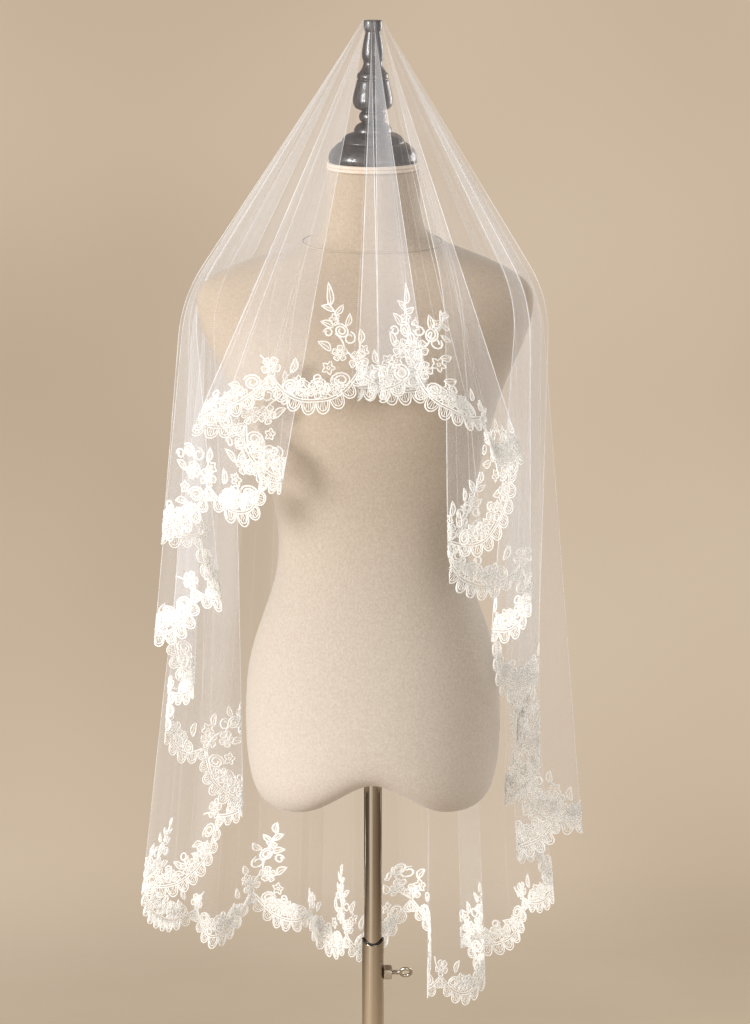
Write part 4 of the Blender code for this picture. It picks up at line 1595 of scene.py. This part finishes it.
    def build(self) -> list[Object]:
        """Work the whole edging, in pieces that follow one another round the hem.

        Returns:
            The pieces, in their order round the hem.
        """
        made = []
        cells = len(self.cusps)
        ends = np.concatenate([self.cusps, self.cusps[:1] + self.length])
        bounds = np.linspace(0, cells, len(self.sections) + 1).round().astype(int)
        for name, first, last in zip(self.sections, bounds[:-1], bounds[1:]):
            lace = FlatLace()
            for cell in range(first, last):
                chance = np.random.default_rng(SEED + cell)
                mirror = 1.0 if cell < cells / 2 else -1.0
                worked = self.worked[cell]
                self.swag(lace, ends[cell], ends[cell + 1], worked.raised, mirror, chance)
                self.spray(lace, ends[cell], worked.height.value, worked.lean, mirror, chance)
            points = self.band.lay(lace.shell.all_points() * MILLIMETRE)
            piece = lace.shell.build(f"lace_edging_{name}", points, self.cord_finish, self.fill_finish)
            made.append(piece)
        return made


# ---- the tulle


@dataclass
class TulleVeil:
    """The round of tulle, from its centre over the finial down to the lace's border."""

    drape: Drape
    edging: LaceEdging
    finish: Material
    cone_rows: int = 22
    bend_rows: int = 7
    fall_rows: int = 30
    under_border: float = 1.0
    line_radius: float = 0.42 * MILLIMETRE
    least_line: float = 0.10
    edge_rounds: int = 6
    centre_crease: float = 0.10
    rim_inset: float = 1.2 * MILLIMETRE

    def edge_downs(self) -> np.ndarray:
        """How far down each ruling the tulle ends, just under the border cord.

        Returns:
            A way down for each ruling.
        """
        drape, band = self.drape, self.edging.band
        height = np.full(len(drape.place), self.edging.border_low)
        for _ in range(self.edge_rounds):
            along = drape.hem_arc / MILLIMETRE + height * band.shift
            height = 0.5 * height + 0.5 * self.edging.border_at(along)
        return 1 - (height - self.under_border) * MILLIMETRE * band.slant / drape.fall

    def downs(self) -> np.ndarray:
        """The ways down of all rows.

        Returns:
            A row for each level, with a way down for each ruling.
        """
        drape = self.drape
        rim = drape.rim(drape.cap_radius, -drape.cap_side_drop)
        cone = np.linalg.norm(drape.shoulder - rim, axis=1)
        above, below = -drape.shoulder_rounding / cone, drape.shoulder_rounding / drape.fall
        share = np.linspace(0, 1, self.cone_rows, endpoint=False)[:, None] ** 1.25
        rows = [-1 + share * (1 + above)]
        share = np.linspace(0, 1, self.bend_rows, endpoint=False)[:, None]
        rows.append(above + share * (below - above))
        share = np.linspace(0, 1, self.fall_rows)[:, None]
        rows.append(below + share * (self.edge_downs() - below))
        return np.concatenate(rows)

    def surface(self) -> np.ndarray:
        """The points of the sheet.

        Returns:
            Points by row, from the cap's top edge down, and by ruling.
        """
        drape = self.drape
        inner = drape.rim(drape.cap_radius - self.rim_inset, 0.0)
        return np.concatenate([inner[None], drape.grid(self.downs())])

    def fold_edges(self, finish: Material) -> Object:
        """Make the fine bright lines where the cloth is pressed double.

        Args:
            finish: the doubled cloth's material.

        Returns:
            One object with a thin roll of cloth along each pressed line.
        """
        grid = self.surface()[1:]
        outward = self.drape.normals(grid)
        strength = self.drape.line_strength()
        shell, values = Shell(), []
        rows = len(grid)
        share = np.linspace(0, 1, rows)
        for column in np.flatnonzero(strength > self.least_line):
            line = grid[:, column]
            along = unit(np.gradient(line, axis=0))
            side = unit(np.cross(along, outward[:, column]))
            out = np.cross(side, along)
            sharp = smooth_step(strength[column], 0.3, 0.7)
            shown = 0.35 + 0.65 * smooth_step(share, 0.0, 0.50 - 0.20 * sharp)
            radius = (self.line_radius * (0.6 + 0.4 * sharp) * shown)[:, None]
            ring = np.stack([line + radius * v for v in (side, out, -side, -out)], axis=1)
            shell.add(ring.reshape(-1, 3), grid_faces(rows, 4))
            values.append(np.repeat(strength[column] * shown, 4))
        made = shell.build("tulle_fold_edges", shell.all_points(), finish)
        store(made, "crease", np.concatenate(values))
        return made

    def build(self) -> Object:
        """Make the tulle as one open sheet, with its pressed lines and flat cut.

        Returns:
            The sheet.
        """
        grid = self.surface()
        rows, columns = grid.shape[:2]
        centre = self.drape.top[:3, 3]
        points = np.concatenate([grid.reshape(-1, 3), centre[None]])
        faces = grid_faces(rows, columns).tolist()
        faces += [[i, (i + 1) % columns, rows * columns] for i in range(columns)]
        veil = mesh_object("tulle_veil", points, faces, self.finish)
        self.mark_creases(veil, grid)
        self.mark_flat_cut(veil, grid)
        return veil

    def mark_creases(self, veil: Object, grid: np.ndarray) -> None:
        """Store how strongly each point shows as a pressed line, and how gathered the net is.

        Args:
            veil: the sheet.
            grid: its points by row and ruling.
        """
        rows = len(grid)
        store(veil, "crease", np.append(np.tile(self.drape.line_strength(), rows), self.centre_crease))
        places, amounts = np.array(GATHERS).T
        gathered = np.interp(self.drape.place % self.drape.folds, places, amounts)
        store(veil, "gather", np.append(np.tile(gathered, rows), 1.0))

    def mark_flat_cut(self, veil: Object, grid: np.ndarray) -> None:
        """Store a flat layout in metres: round the veil, and down from its centre.

        Args:
            veil: the sheet.
            grid: its points by row and ruling.
        """
        rows, columns = grid.shape[:2]
        steps = np.linalg.norm(np.diff(grid, axis=0), axis=2)
        down = np.concatenate([np.zeros((1, columns)), np.cumsum(steps, axis=0)])
        round_hem = np.broadcast_to(self.drape.hem_arc, (rows, columns))
        flat = np.append(np.stack([round_hem, down], axis=-1).reshape(-1, 2), [[0, 0]], axis=0)
        layer = veil.data.uv_layers.new(name="flat_cut")
        corner = np.empty(len(veil.data.loops), dtype=np.int32)
        veil.data.loops.foreach_get("vertex_index", corner)
        uv = flat[corner]
        wrap = self.drape.hem_length
        polygon = np.repeat(np.arange(len(veil.data.polygons)), [p.loop_total for p in veil.data.polygons])
        highest = np.zeros(len(veil.data.polygons))
        np.maximum.at(highest, polygon, uv[:, 0])
        uv[:, 0] += np.where(highest[polygon] - uv[:, 0] > wrap / 2, wrap, 0)
        layer.data.foreach_set("uv", uv.astype(np.float32).reshape(-1))


# ---- the dress form


class FormSection(NamedTuple):
    """One level of the dress form: its height, half width, reach to the front and back,
    sideways shift, and rise towards the back per metre of depth."""

    height: float
    half_width: float
    front: float
    back: float
    shift: float
    slope: float


FORM_SECTIONS = tuple(FormSection(*row) for row in (
    (0.808, 0.030, 0.025, 0.030, 0.000, 0.00),
    (0.808, 0.080, 0.062, 0.070, 0.000, 0.00),
    (0.812, 0.116, 0.088, 0.098, 0.000, 0.00),
    (0.826, 0.134, 0.104, 0.114, 0.000, 0.00),
    (0.850, 0.144, 0.113, 0.121, 0.000, 0.00),
    (0.892, 0.149, 0.117, 0.124, 0.000, 0.00),
    (0.935, 0.149, 0.117, 0.124, 0.000, 0.00),
    (0.972, 0.147, 0.114, 0.120, 0.000, 0.00),
    (1.007, 0.139, 0.108, 0.112, 0.000, 0.00),
    (1.045, 0.125, 0.100, 0.101, 0.000, 0.00),
    (1.085, 0.111, 0.092, 0.089, 0.000, 0.00),
    (1.125, 0.109, 0.089, 0.083, 0.000, 0.00),
    (1.168, 0.115, 0.095, 0.085, 0.000, 0.00),
    (1.214, 0.128, 0.108, 0.089, -0.002, 0.00),
    (1.255, 0.142, 0.116, 0.093, -0.005, 0.00),
    (1.295, 0.156, 0.114, 0.094, -0.007, 0.00),
    (1.335, 0.177, 0.103, 0.093, -0.009, 0.00),
    (1.370, 0.192, 0.085, 0.088, -0.009, 0.00),
    (1.400, 0.196, 0.066, 0.076, -0.009, 0.03),
    (1.416, 0.190, 0.058, 0.067, -0.009, 0.06),
    (1.430, 0.168, 0.053, 0.060, -0.006, 0.12),
    (1.443, 0.133, 0.050, 0.056, -0.004, 0.20),
    (1.454, 0.096, 0.049, 0.052, -0.002, 0.26),
    (1.464, 0.069, 0.049, 0.049, 0.000, 0.28),
    (1.478, 0.057, 0.049, 0.045, 0.000, 0.26),
    (1.505, 0.054, 0.054, 0.040, 0.000, 0.22),
    (1.534, 0.0535, 0.059, 0.037, 0.000, 0.1763),
    (1.544, 0.0530, 0.059, 0.036, 0.000, 0.1763),
))


@dataclass
class DressForm:
    """The padded, limbless body with its linen cover and neck seam."""

    linen: Material
    cage_sides: int = 20
    seam_sides: int = 96
    roundness: float = 2.2
    neck_depth: float = -0.012
    arch_rise: float = 0.048
    arch_width: float = 0.045
    arch_fade: float = 0.090
    smoothing: int = 3
    welt_level: float = 22.6
    welt_radius: float = 1.1 * MILLIMETRE

    def ring(self, section: FormSection, sides: int) -> np.ndarray:
        """The points of one level, from its front round by its left.

        Args:
            section: the level.
            sides: how many points it gets.

        Returns:
            The points, one a row.
        """
        angle = round_angles(sides)
        across, along = np.sin(angle), -np.cos(angle)
        power = self.roundness
        reach = (np.abs(across) ** power + np.abs(along) ** power) ** (-1 / power)
        x = section.half_width * across * reach
        y = np.where(along < 0, section.front, section.back) * along * reach
        fade = max(0.0, 1 - (section.height - FORM_SECTIONS[0].height) / self.arch_fade)
        arch = self.arch_rise * np.exp(-((x / self.arch_width) ** 2)) * fade
        z = section.height + section.slope * (y - self.neck_depth) + arch
        return np.stack([x + section.shift, y, z], axis=1)

    def build(self) -> Object:
        """Make the body as a smooth skin over its sections.

        Returns:
            The body.
        """
        rings = np.stack([self.ring(section, self.cage_sides) for section in FORM_SECTIONS])
        levels, sides = rings.shape[:2]
        faces = [row[::-1] for row in grid_faces(levels, sides).tolist()]
        last = (levels - 1) * sides
        faces.append(list(range(sides - 1, -1, -1)))
        faces.append([last + i for i in range(sides)])
        body = mesh_object("form_body", rings.reshape(-1, 3), faces, self.linen)
        crease = body.data.attributes.new("crease_edge", "FLOAT", "EDGE")
        for edge in body.data.edges:
            crease.data[edge.index].value = float(min(edge.vertices) >= last)
        smooth = body.modifiers.new("padding", "SUBSURF")
        smooth.levels = smooth.render_levels = self.smoothing
        return body

    def neck_welt(self) -> Object:
        """The stitched welt where the neck's cover meets the body's.

        Returns:
            The welt.
        """
        low = int(self.welt_level)
        share = self.welt_level - low
        pair = [np.array(FORM_SECTIONS[low]), np.array(FORM_SECTIONS[low + 1])]
        between = FormSection(*(pair[0] * (1 - share) + pair[1] * share))
        return tube_along("neck_seam_welt", self.ring(between, self.seam_sides), self.welt_radius, self.linen)


def tube_along(name: str, line: np.ndarray, radius: float, finish: Material, sides: int = 10) -> Object:
    """A closed round cord along a closed line.

    Args:
        name: the object's name.
        line: the points that it follows.
        radius: half its thickness.
        finish: its material.
        sides: how many sides its section has.

    Returns:
        The cord.
    """
    along = unit(np.roll(line, -1, axis=0) - np.roll(line, 1, axis=0))
    out = line - line.mean(axis=0)
    out = unit(out - (out * along).sum(axis=1, keepdims=True) * along)
    up = np.cross(along, out)
    turn = round_angles(sides)[None, :, None]
    points = line[:, None] + radius * (np.cos(turn) * out[:, None] + np.sin(turn) * up[:, None])
    faces = grid_faces(len(line), sides, looped=True).tolist()
    return mesh_object(name, points.reshape(-1, 3), faces, finish)


@dataclass
class NeckCap:
    """The covered disc on the neck, with piping round its edge."""

    linen: Material
    piping: Material
    frame: Matrix
    radius: float = 0.052
    thickness: float = 0.008
    piping_radius: float = 0.0022
    disc_inset: float = 0.0016
    edge_width: float = 0.001
    edge_drop: float = 0.0012
    piping_overhang: float = 0.0004
    upper_piping: float = 0.0018
    lower_piping: float = 0.0022
    sides: int = 96

    def build(self) -> list[Object]:
        """Make the disc and its two rows of piping.

        Returns:
            The disc and the two cords.
        """
        rim, depth, drop = self.radius - self.disc_inset, self.thickness, self.edge_drop
        flat_rim = rim - self.edge_width
        outline = np.array([(flat_rim, 0.0), (rim, -drop), (rim, -depth + drop), (flat_rim, -depth)])
        disc = turned("neck_disc", outline, self.linen)
        disc.matrix_world = self.frame
        reach = self.radius - self.piping_radius + self.piping_overhang
        flat = loop(reach, round_angles(self.sides))
        made = [disc]
        for name, height in (("upper", -self.upper_piping), ("lower", -depth + self.lower_piping)):
            ring = np.column_stack([flat, np.full(self.sides, height)])
            cord = tube_along(f"neck_piping_{name}", ring, self.piping_radius, self.piping)
            cord.matrix_world = self.frame
            made.append(cord)
        return made


# Radius and height of each step of the finial, from the top down, in metres above its foot
FINIAL_OUTLINE = (
    (0.0090, 0.1570), (0.0102, 0.1560), (0.0101, 0.1465), (0.0085, 0.1452), (0.0092, 0.1400),
    (0.0108, 0.1320), (0.0122, 0.1220), (0.0120, 0.1160), (0.0106, 0.1105), (0.0122, 0.1050),
    (0.0152, 0.1000), (0.0170, 0.0985), (0.0178, 0.0950), (0.0170, 0.0922), (0.0180, 0.0905),
    (0.0198, 0.0830), (0.0216, 0.0760), (0.0226, 0.0690), (0.0218, 0.0640), (0.0190, 0.0600),
    (0.0134, 0.0575), (0.0132, 0.0560), (0.0150, 0.0540), (0.0156, 0.0505), (0.0148, 0.0470),
    (0.0126, 0.0445), (0.0150, 0.0435), (0.0190, 0.0405), (0.0212, 0.0365), (0.0220, 0.0332),
    (0.0285, 0.0310), (0.0330, 0.0275), (0.0358, 0.0230), (0.0362, 0.0218), (0.0395, 0.0205),
    (0.0440, 0.0165), (0.0480, 0.0120), (0.0503, 0.0050), (0.0490, 0.0000),
)


@dataclass
class Finial:
    """The turned wooden finial."""

    wood: Material
    frame: Matrix
    clearance: float = 0.0003
    smoothing: int = 4

    def build(self) -> Object:
        """Turn the finial from its outline.

        Returns:
            The finial.
        """
        made = turned("turned_finial", smooth_line(np.array(FINIAL_OUTLINE), self.smoothing), self.wood)
        made.matrix_world = self.frame @ Matrix.Translation((0, 0, self.clearance))
        return made


# ---- the stand


@dataclass
class Clamp:
    """The hex nut on the lower tube and the threaded eye screw through it."""

    zinc: Material
    height: float = 0.614
    nut_start: float = 0.01315
    nut_length: float = 0.009
    nut_across_flats: float = 0.015
    chamfer: float = 0.0012
    screw_radius: float = 0.0030
    thread_pitch: float = 1.0 * MILLIMETRE
    thread_depth: float = 0.45 * MILLIMETRE
    screw_start: float = 0.0108
    screw_end: float = 0.0330
    eye_radius: float = 0.0062
    eye_wire: float = 0.0020
    eye_turn: float = math.radians(35)
    eye_overlap: float = 0.001
    bore_clearance: float = 0.4 * MILLIMETRE
    bore_bevel: float = 0.0006
    nut_sides: int = 36
    shank_sides: int = 24
    rings_a_turn: int = 6
    tip_share: float = 0.8
    eye_sides: int = 40
    wire_sides: int = 14

    def along_x(self) -> Matrix:
        """The frame whose Z axis points out along the screw."""
        return Matrix.Translation((0, 0, self.height)) @ Matrix.Rotation(math.pi / 2, 4, "Y")

    def nut(self) -> Object:
        """The nut, with its corners turned off.

        Returns:
            The nut.
        """
        corner = self.nut_across_flats / math.sqrt(3)
        bore = self.screw_radius + self.bore_clearance
        end = self.nut_start + self.nut_length
        rings = (
            (bore, self.nut_start),
            (corner, self.nut_start),
            (corner, end - self.chamfer),
            (corner - self.chamfer, end),
            (bore + self.bore_bevel, end),
            (bore, end - self.bore_bevel),
        )
        angle = round_angles(self.nut_sides)
        hexagon = math.cos(math.pi / 6) / np.cos((angle % (math.pi / 3)) - math.pi / 6)
        points = []
        for radius, height in rings:
            reach = radius * (hexagon if radius == corner else np.minimum(hexagon * corner, radius) / radius)
            points.append(np.column_stack([loop(reach, angle), np.full(self.nut_sides, height)]))
        quads = grid_faces(len(rings), self.nut_sides, looped=True).tolist()
        made = mesh_object("clamp_hex_nut", np.concatenate(points), quads, self.zinc, sharp=25.0)
        made.matrix_world = self.along_x()
        return made

    def screw(self) -> Object:
        """The threaded shank with its eye.

        Returns:
            The screw.
        """
        length = self.screw_end - self.screw_start
        steps = int(length / self.thread_pitch * self.rings_a_turn)
        shell = Shell()
        angle = round_angles(self.shank_sides)
        height = (self.screw_start + length * np.arange(steps + 1) / steps)[:, None]
        phase = (height / self.thread_pitch - angle[None] / math.tau) % 1
        radius = self.screw_radius - self.thread_depth * np.abs(2 * phase - 1)
        radius[0] *= self.tip_share
        upright = np.repeat(height, self.shank_sides, axis=1)
        grid = np.stack([radius * np.cos(angle), radius * np.sin(angle), upright], axis=-1)
        shell.add(grid.reshape(-1, 3), grid_faces(steps + 1, self.shank_sides)[:, ::-1])
        eye_centre = self.screw_end - self.eye_overlap + self.eye_radius
        round_eye, wire = round_angles(self.eye_sides)[:, None], round_angles(self.wire_sides)
        reach = self.eye_radius + self.eye_wire * np.cos(wire)[None]
        x, z = reach * np.cos(round_eye), eye_centre + reach * np.sin(round_eye)
        y = np.broadcast_to(self.eye_wire * np.sin(wire)[None], x.shape)
        turn_x = x * math.cos(self.eye_turn) - y * math.sin(self.eye_turn)
        turn_y = x * math.sin(self.eye_turn) + y * math.cos(self.eye_turn)
        eye = np.stack([turn_x, turn_y, z], axis=-1).reshape(-1, 3)
        shell.add(eye, grid_faces(self.eye_sides, self.wire_sides, looped=True, inward=True))
        made = shell.build("clamp_eye_screw", shell.all_points(), self.zinc)
        made.matrix_world = self.along_x()
        return made


def dress_node(name: str, finish: Material) -> None:
    """Give a CAD node that stays in view its finish.

    Args:
        name: the node's name.
        finish: its material.
    """
    node = frame["nodes"][name]
    node.data.materials.clear()
    node.data.materials.append(finish)


# ---- the studio


class SoftBox(NamedTuple):
    """A square light: what it does, where it stands, what it faces, its side in metres, its
    power in watts and its colour."""

    name: str
    place: tuple[float, float, float]
    aim: tuple[float, float, float]
    size: float
    power: float
    colour: str


SOFT_BOXES = (
    SoftBox("key", (-2.75, -1.75, 1.75), (0, 0, 1.0), 1.3, 137, "FFFFFF"),
    SoftBox("fill", (1.1, -3.1, 1.2), (0.1, 0, 0.9), 1.6, 29, "FFFDFA"),
    SoftBox("back", (2.1, 1.7, 1.8), (0.2, 0, 1.0), 1.4, 34, "FFFEFC"),
)


@dataclass
class Studio:
    """Pale floor, plain warm surroundings, soft light and the camera."""

    floor_radius: float = 3.4
    floor_fade: float = 1.3
    floor_sides: int = 96
    floor_colours: tuple[str, str] = ("AD9C86", "B3A38D")
    backdrop: tuple[str, str, str] = ("B8A48C", "CDB9A2", "DAC8B1")
    ambient: str = "FFFAF3"
    ambient_strength: float = 0.70
    mirrored: tuple[tuple[float, str], ...] = (
        (0.02, "5E5145"), (0.10, "6E6052"), (0.15, "FFF8EE"), (0.21, "E8DAC8"), (0.26, "A08C78"),
        (0.52, "5E4E40"), (0.60, "806E5C"), (0.68, "CDB9A2"), (0.78, "54432F"),
    )
    camera_place: tuple[float, float, float] = (0.0023, -2.8, 1.40)
    camera_pitch: float = 5.02
    lens: float = 85.93
    sensor_width: float = 36.0

    def floor(self) -> None:
        """A round floor of painted boards that fades out at its edge."""
        made, tree, shader = start_material("floor_matte_paint_rolled", {"Roughness": 0.9})
        place = place_on(tree)
        mottle = noise(tree, place, 2.0, detail=3.0)
        tone = toned(tree, mottle, *zip((0.3, 0.7), self.floor_colours))
        distance = add_node(tree, "ShaderNodeVectorMath", {0: place}, operation="LENGTH").outputs["Value"]
        edge = (self.floor_fade, self.floor_radius)
        fade = remapped(tree, distance, edge, (1.0, 0.0), interpolation_type="SMOOTHSTEP")
        tree.links.new(tone, shader.inputs["Base Color"])
        tree.links.new(fade, shader.inputs["Alpha"])
        flat = self.floor_radius * loop(1.0, round_angles(self.floor_sides))
        ring = np.column_stack([flat, np.zeros(self.floor_sides)])
        mesh_object("studio_floor", ring, [list(range(self.floor_sides))], made)

    def surroundings(self) -> None:
        """A plain warm backdrop to look at, and even light from all round."""
        world = bpy.data.worlds.new("studio")
        bpy.context.scene.world = world
        world.use_nodes = True
        tree = world.node_tree
        tree.nodes.clear()
        place = add_node(tree, "ShaderNodeTexCoord").outputs["Generated"]
        mottle = noise(tree, place, 3.2, roughness=0.4)
        seen = toned(tree, mottle, *zip((0.3, 0.5, 0.72), self.backdrop))
        turn = add_node(tree, "ShaderNodeTexGradient", {"Vector": place}, gradient_type="RADIAL")
        mirrored = toned(tree, turn.outputs["Fac"], *self.mirrored)
        look, lit, mirror = (
            add_node(tree, "ShaderNodeBackground", {"Color": colour, "Strength": power}).outputs["Background"]
            for colour, power in ((seen, 1.0), (linear(self.ambient), self.ambient_strength), (mirrored, 1.0))
        )
        path = add_node(tree, "ShaderNodeLightPath")
        lighting = blended(tree, path.outputs["Is Glossy Ray"], lit, mirror)
        whole = blended(tree, path.outputs["Is Camera Ray"], lighting, look)
        add_node(tree, "ShaderNodeOutputWorld", {"Surface": whole})

    def soft_box(self, box: SoftBox) -> None:
        """Set up one soft box.

        Args:
            box: what it is and where it stands.
        """
        light = bpy.data.lights.new(box.name, "AREA")
        light.shape = "SQUARE"
        light.size = box.size
        light.energy = box.power
        light.color = linear(box.colour)[:3]
        holder = bpy.data.objects.new(box.name, light)
        holder.location = box.place
        direction = Vector(box.aim) - Vector(box.place)
        holder.rotation_euler = direction.to_track_quat("-Z", "Y").to_euler()
        holder.visible_camera = False
        bpy.context.scene.collection.objects.link(holder)

    def camera(self) -> None:
        """The camera, level with the shoulders and looking slightly down."""
        data = bpy.data.cameras.new("camera")
        data.lens = self.lens
        data.sensor_width = self.sensor_width
        holder = bpy.data.objects.new("camera", data)
        holder.location = self.camera_place
        holder.rotation_euler = (math.radians(90 - self.camera_pitch), 0, 0)
        bpy.context.scene.collection.objects.link(holder)
        bpy.context.scene.camera = holder

    def build(self) -> None:
        """Set up everything that isn't the object."""
        self.floor()
        self.surroundings()
        for box in SOFT_BOXES:
            self.soft_box(box)
        self.camera()
        scene = bpy.context.scene
        scene.view_settings.view_transform = "Standard"
        scene.cycles.transparent_max_bounces = 40
        scene.cycles.max_bounces = 8


def main() -> None:
    """Build every piece in order and say which CAD body each rides on."""
    tulle = IvoryTulle().material()
    lace = CordedLace().material()
    # The open stitches' cream tone, darker and warmer than the white cord, is painted warm shade for lace
    # seen in shadow
    stitches = CordedLace(
        name="rayon_open_stitch_lace_painted_warm_shade",
        colour="EFE6D8",
        shade="DACDB9",
        glow=0.50,
        least_cover=0.05,
        most_cover=0.22,
    ).material()
    linen = LinenCover().material()
    # The cap takes the darkest, most orange end of the painted height shade all over
    cap_linen = LinenCover(name="linen_cover_woven_painted_neck_shade", painted_light_below=-1.0, painted_shade_above=-0.5).material()
    piping = LinenCover(name="pale_linen_piping_woven", colour="C6B5A2", dark_yarn="B8A592").material()
    wood = StainedWood().material()
    steel = BrushedMetal("bright_steel_tube_polished", "C9BFB2", 0.10).material()
    plate = BrushedMetal("satin_steel_plate_turned", "B4ACA2", 0.34, (1.0, 1.0, 1.0)).material()
    zinc = BrushedMetal("zinc_plated_steel_tumbled", "BDB6AA", 0.3, (1.0, 1.0, 1.0)).material()
    black = MouldedBlack().material()

    drape = Drape()
    band = LaceBand(drape)
    edging = LaceEdging(band, lace, stitches)
    cloth = TulleVeil(drape, edging, tulle)
    veil, edges = cloth.build(), cloth.fold_edges(DoubledTulle().material())
    for piece in (veil, edges):
        piece.visible_shadow = False
        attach(piece, TURNING_BODY)
        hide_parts("veil_tulle")
    log.info("tulle: %d rulings, hem %.2f m", len(drape.place), drape.hem_length)
    laces = edging.build()
    for piece in laces:
        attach(piece, TURNING_BODY)
        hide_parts("lace_edging")
        log.info("lace: %s has %d faces", piece.name, len(piece.data.polygons))

    form = DressForm(linen)
    body, welt = form.build(), form.neck_welt()
    cap = NeckCap(cap_linen, piping, drape.tilted_frame()).build()
    finial = Finial(wood, drape.tilted_frame()).build()
    for piece, node, slot in (
        (body, "dress_form", "linen"),
        (welt, "dress_form", "linen"),
        *((part, "neck_cap", "linen") for part in cap),
        (finial, "finial", "wood"),
    ):
        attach(piece, TURNING_BODY)
        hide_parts(node)
        log.info("form: %s", piece.name)

    clamp = Clamp(zinc)
    for piece, rides_on, node in (
        (clamp.nut(), STAND_BODY, "clamp_nut"),
        (clamp.screw(), CLAMP_BODY, "clamp_screw"),
    ):
        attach(piece, rides_on)
        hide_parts(node)
    dress_node("upper_tube", steel)
    dress_node("lower_tube", steel)
    dress_node("mouth_lip", black)
    dress_node("foot_collar", plate)
    dress_node("base_plate", plate)
    log.info("stand: tubes, lip, clamp, collar and plate")

    Studio().build()


if __name__ == "__main__":
    logging.basicConfig(level=logging.INFO)
    main()
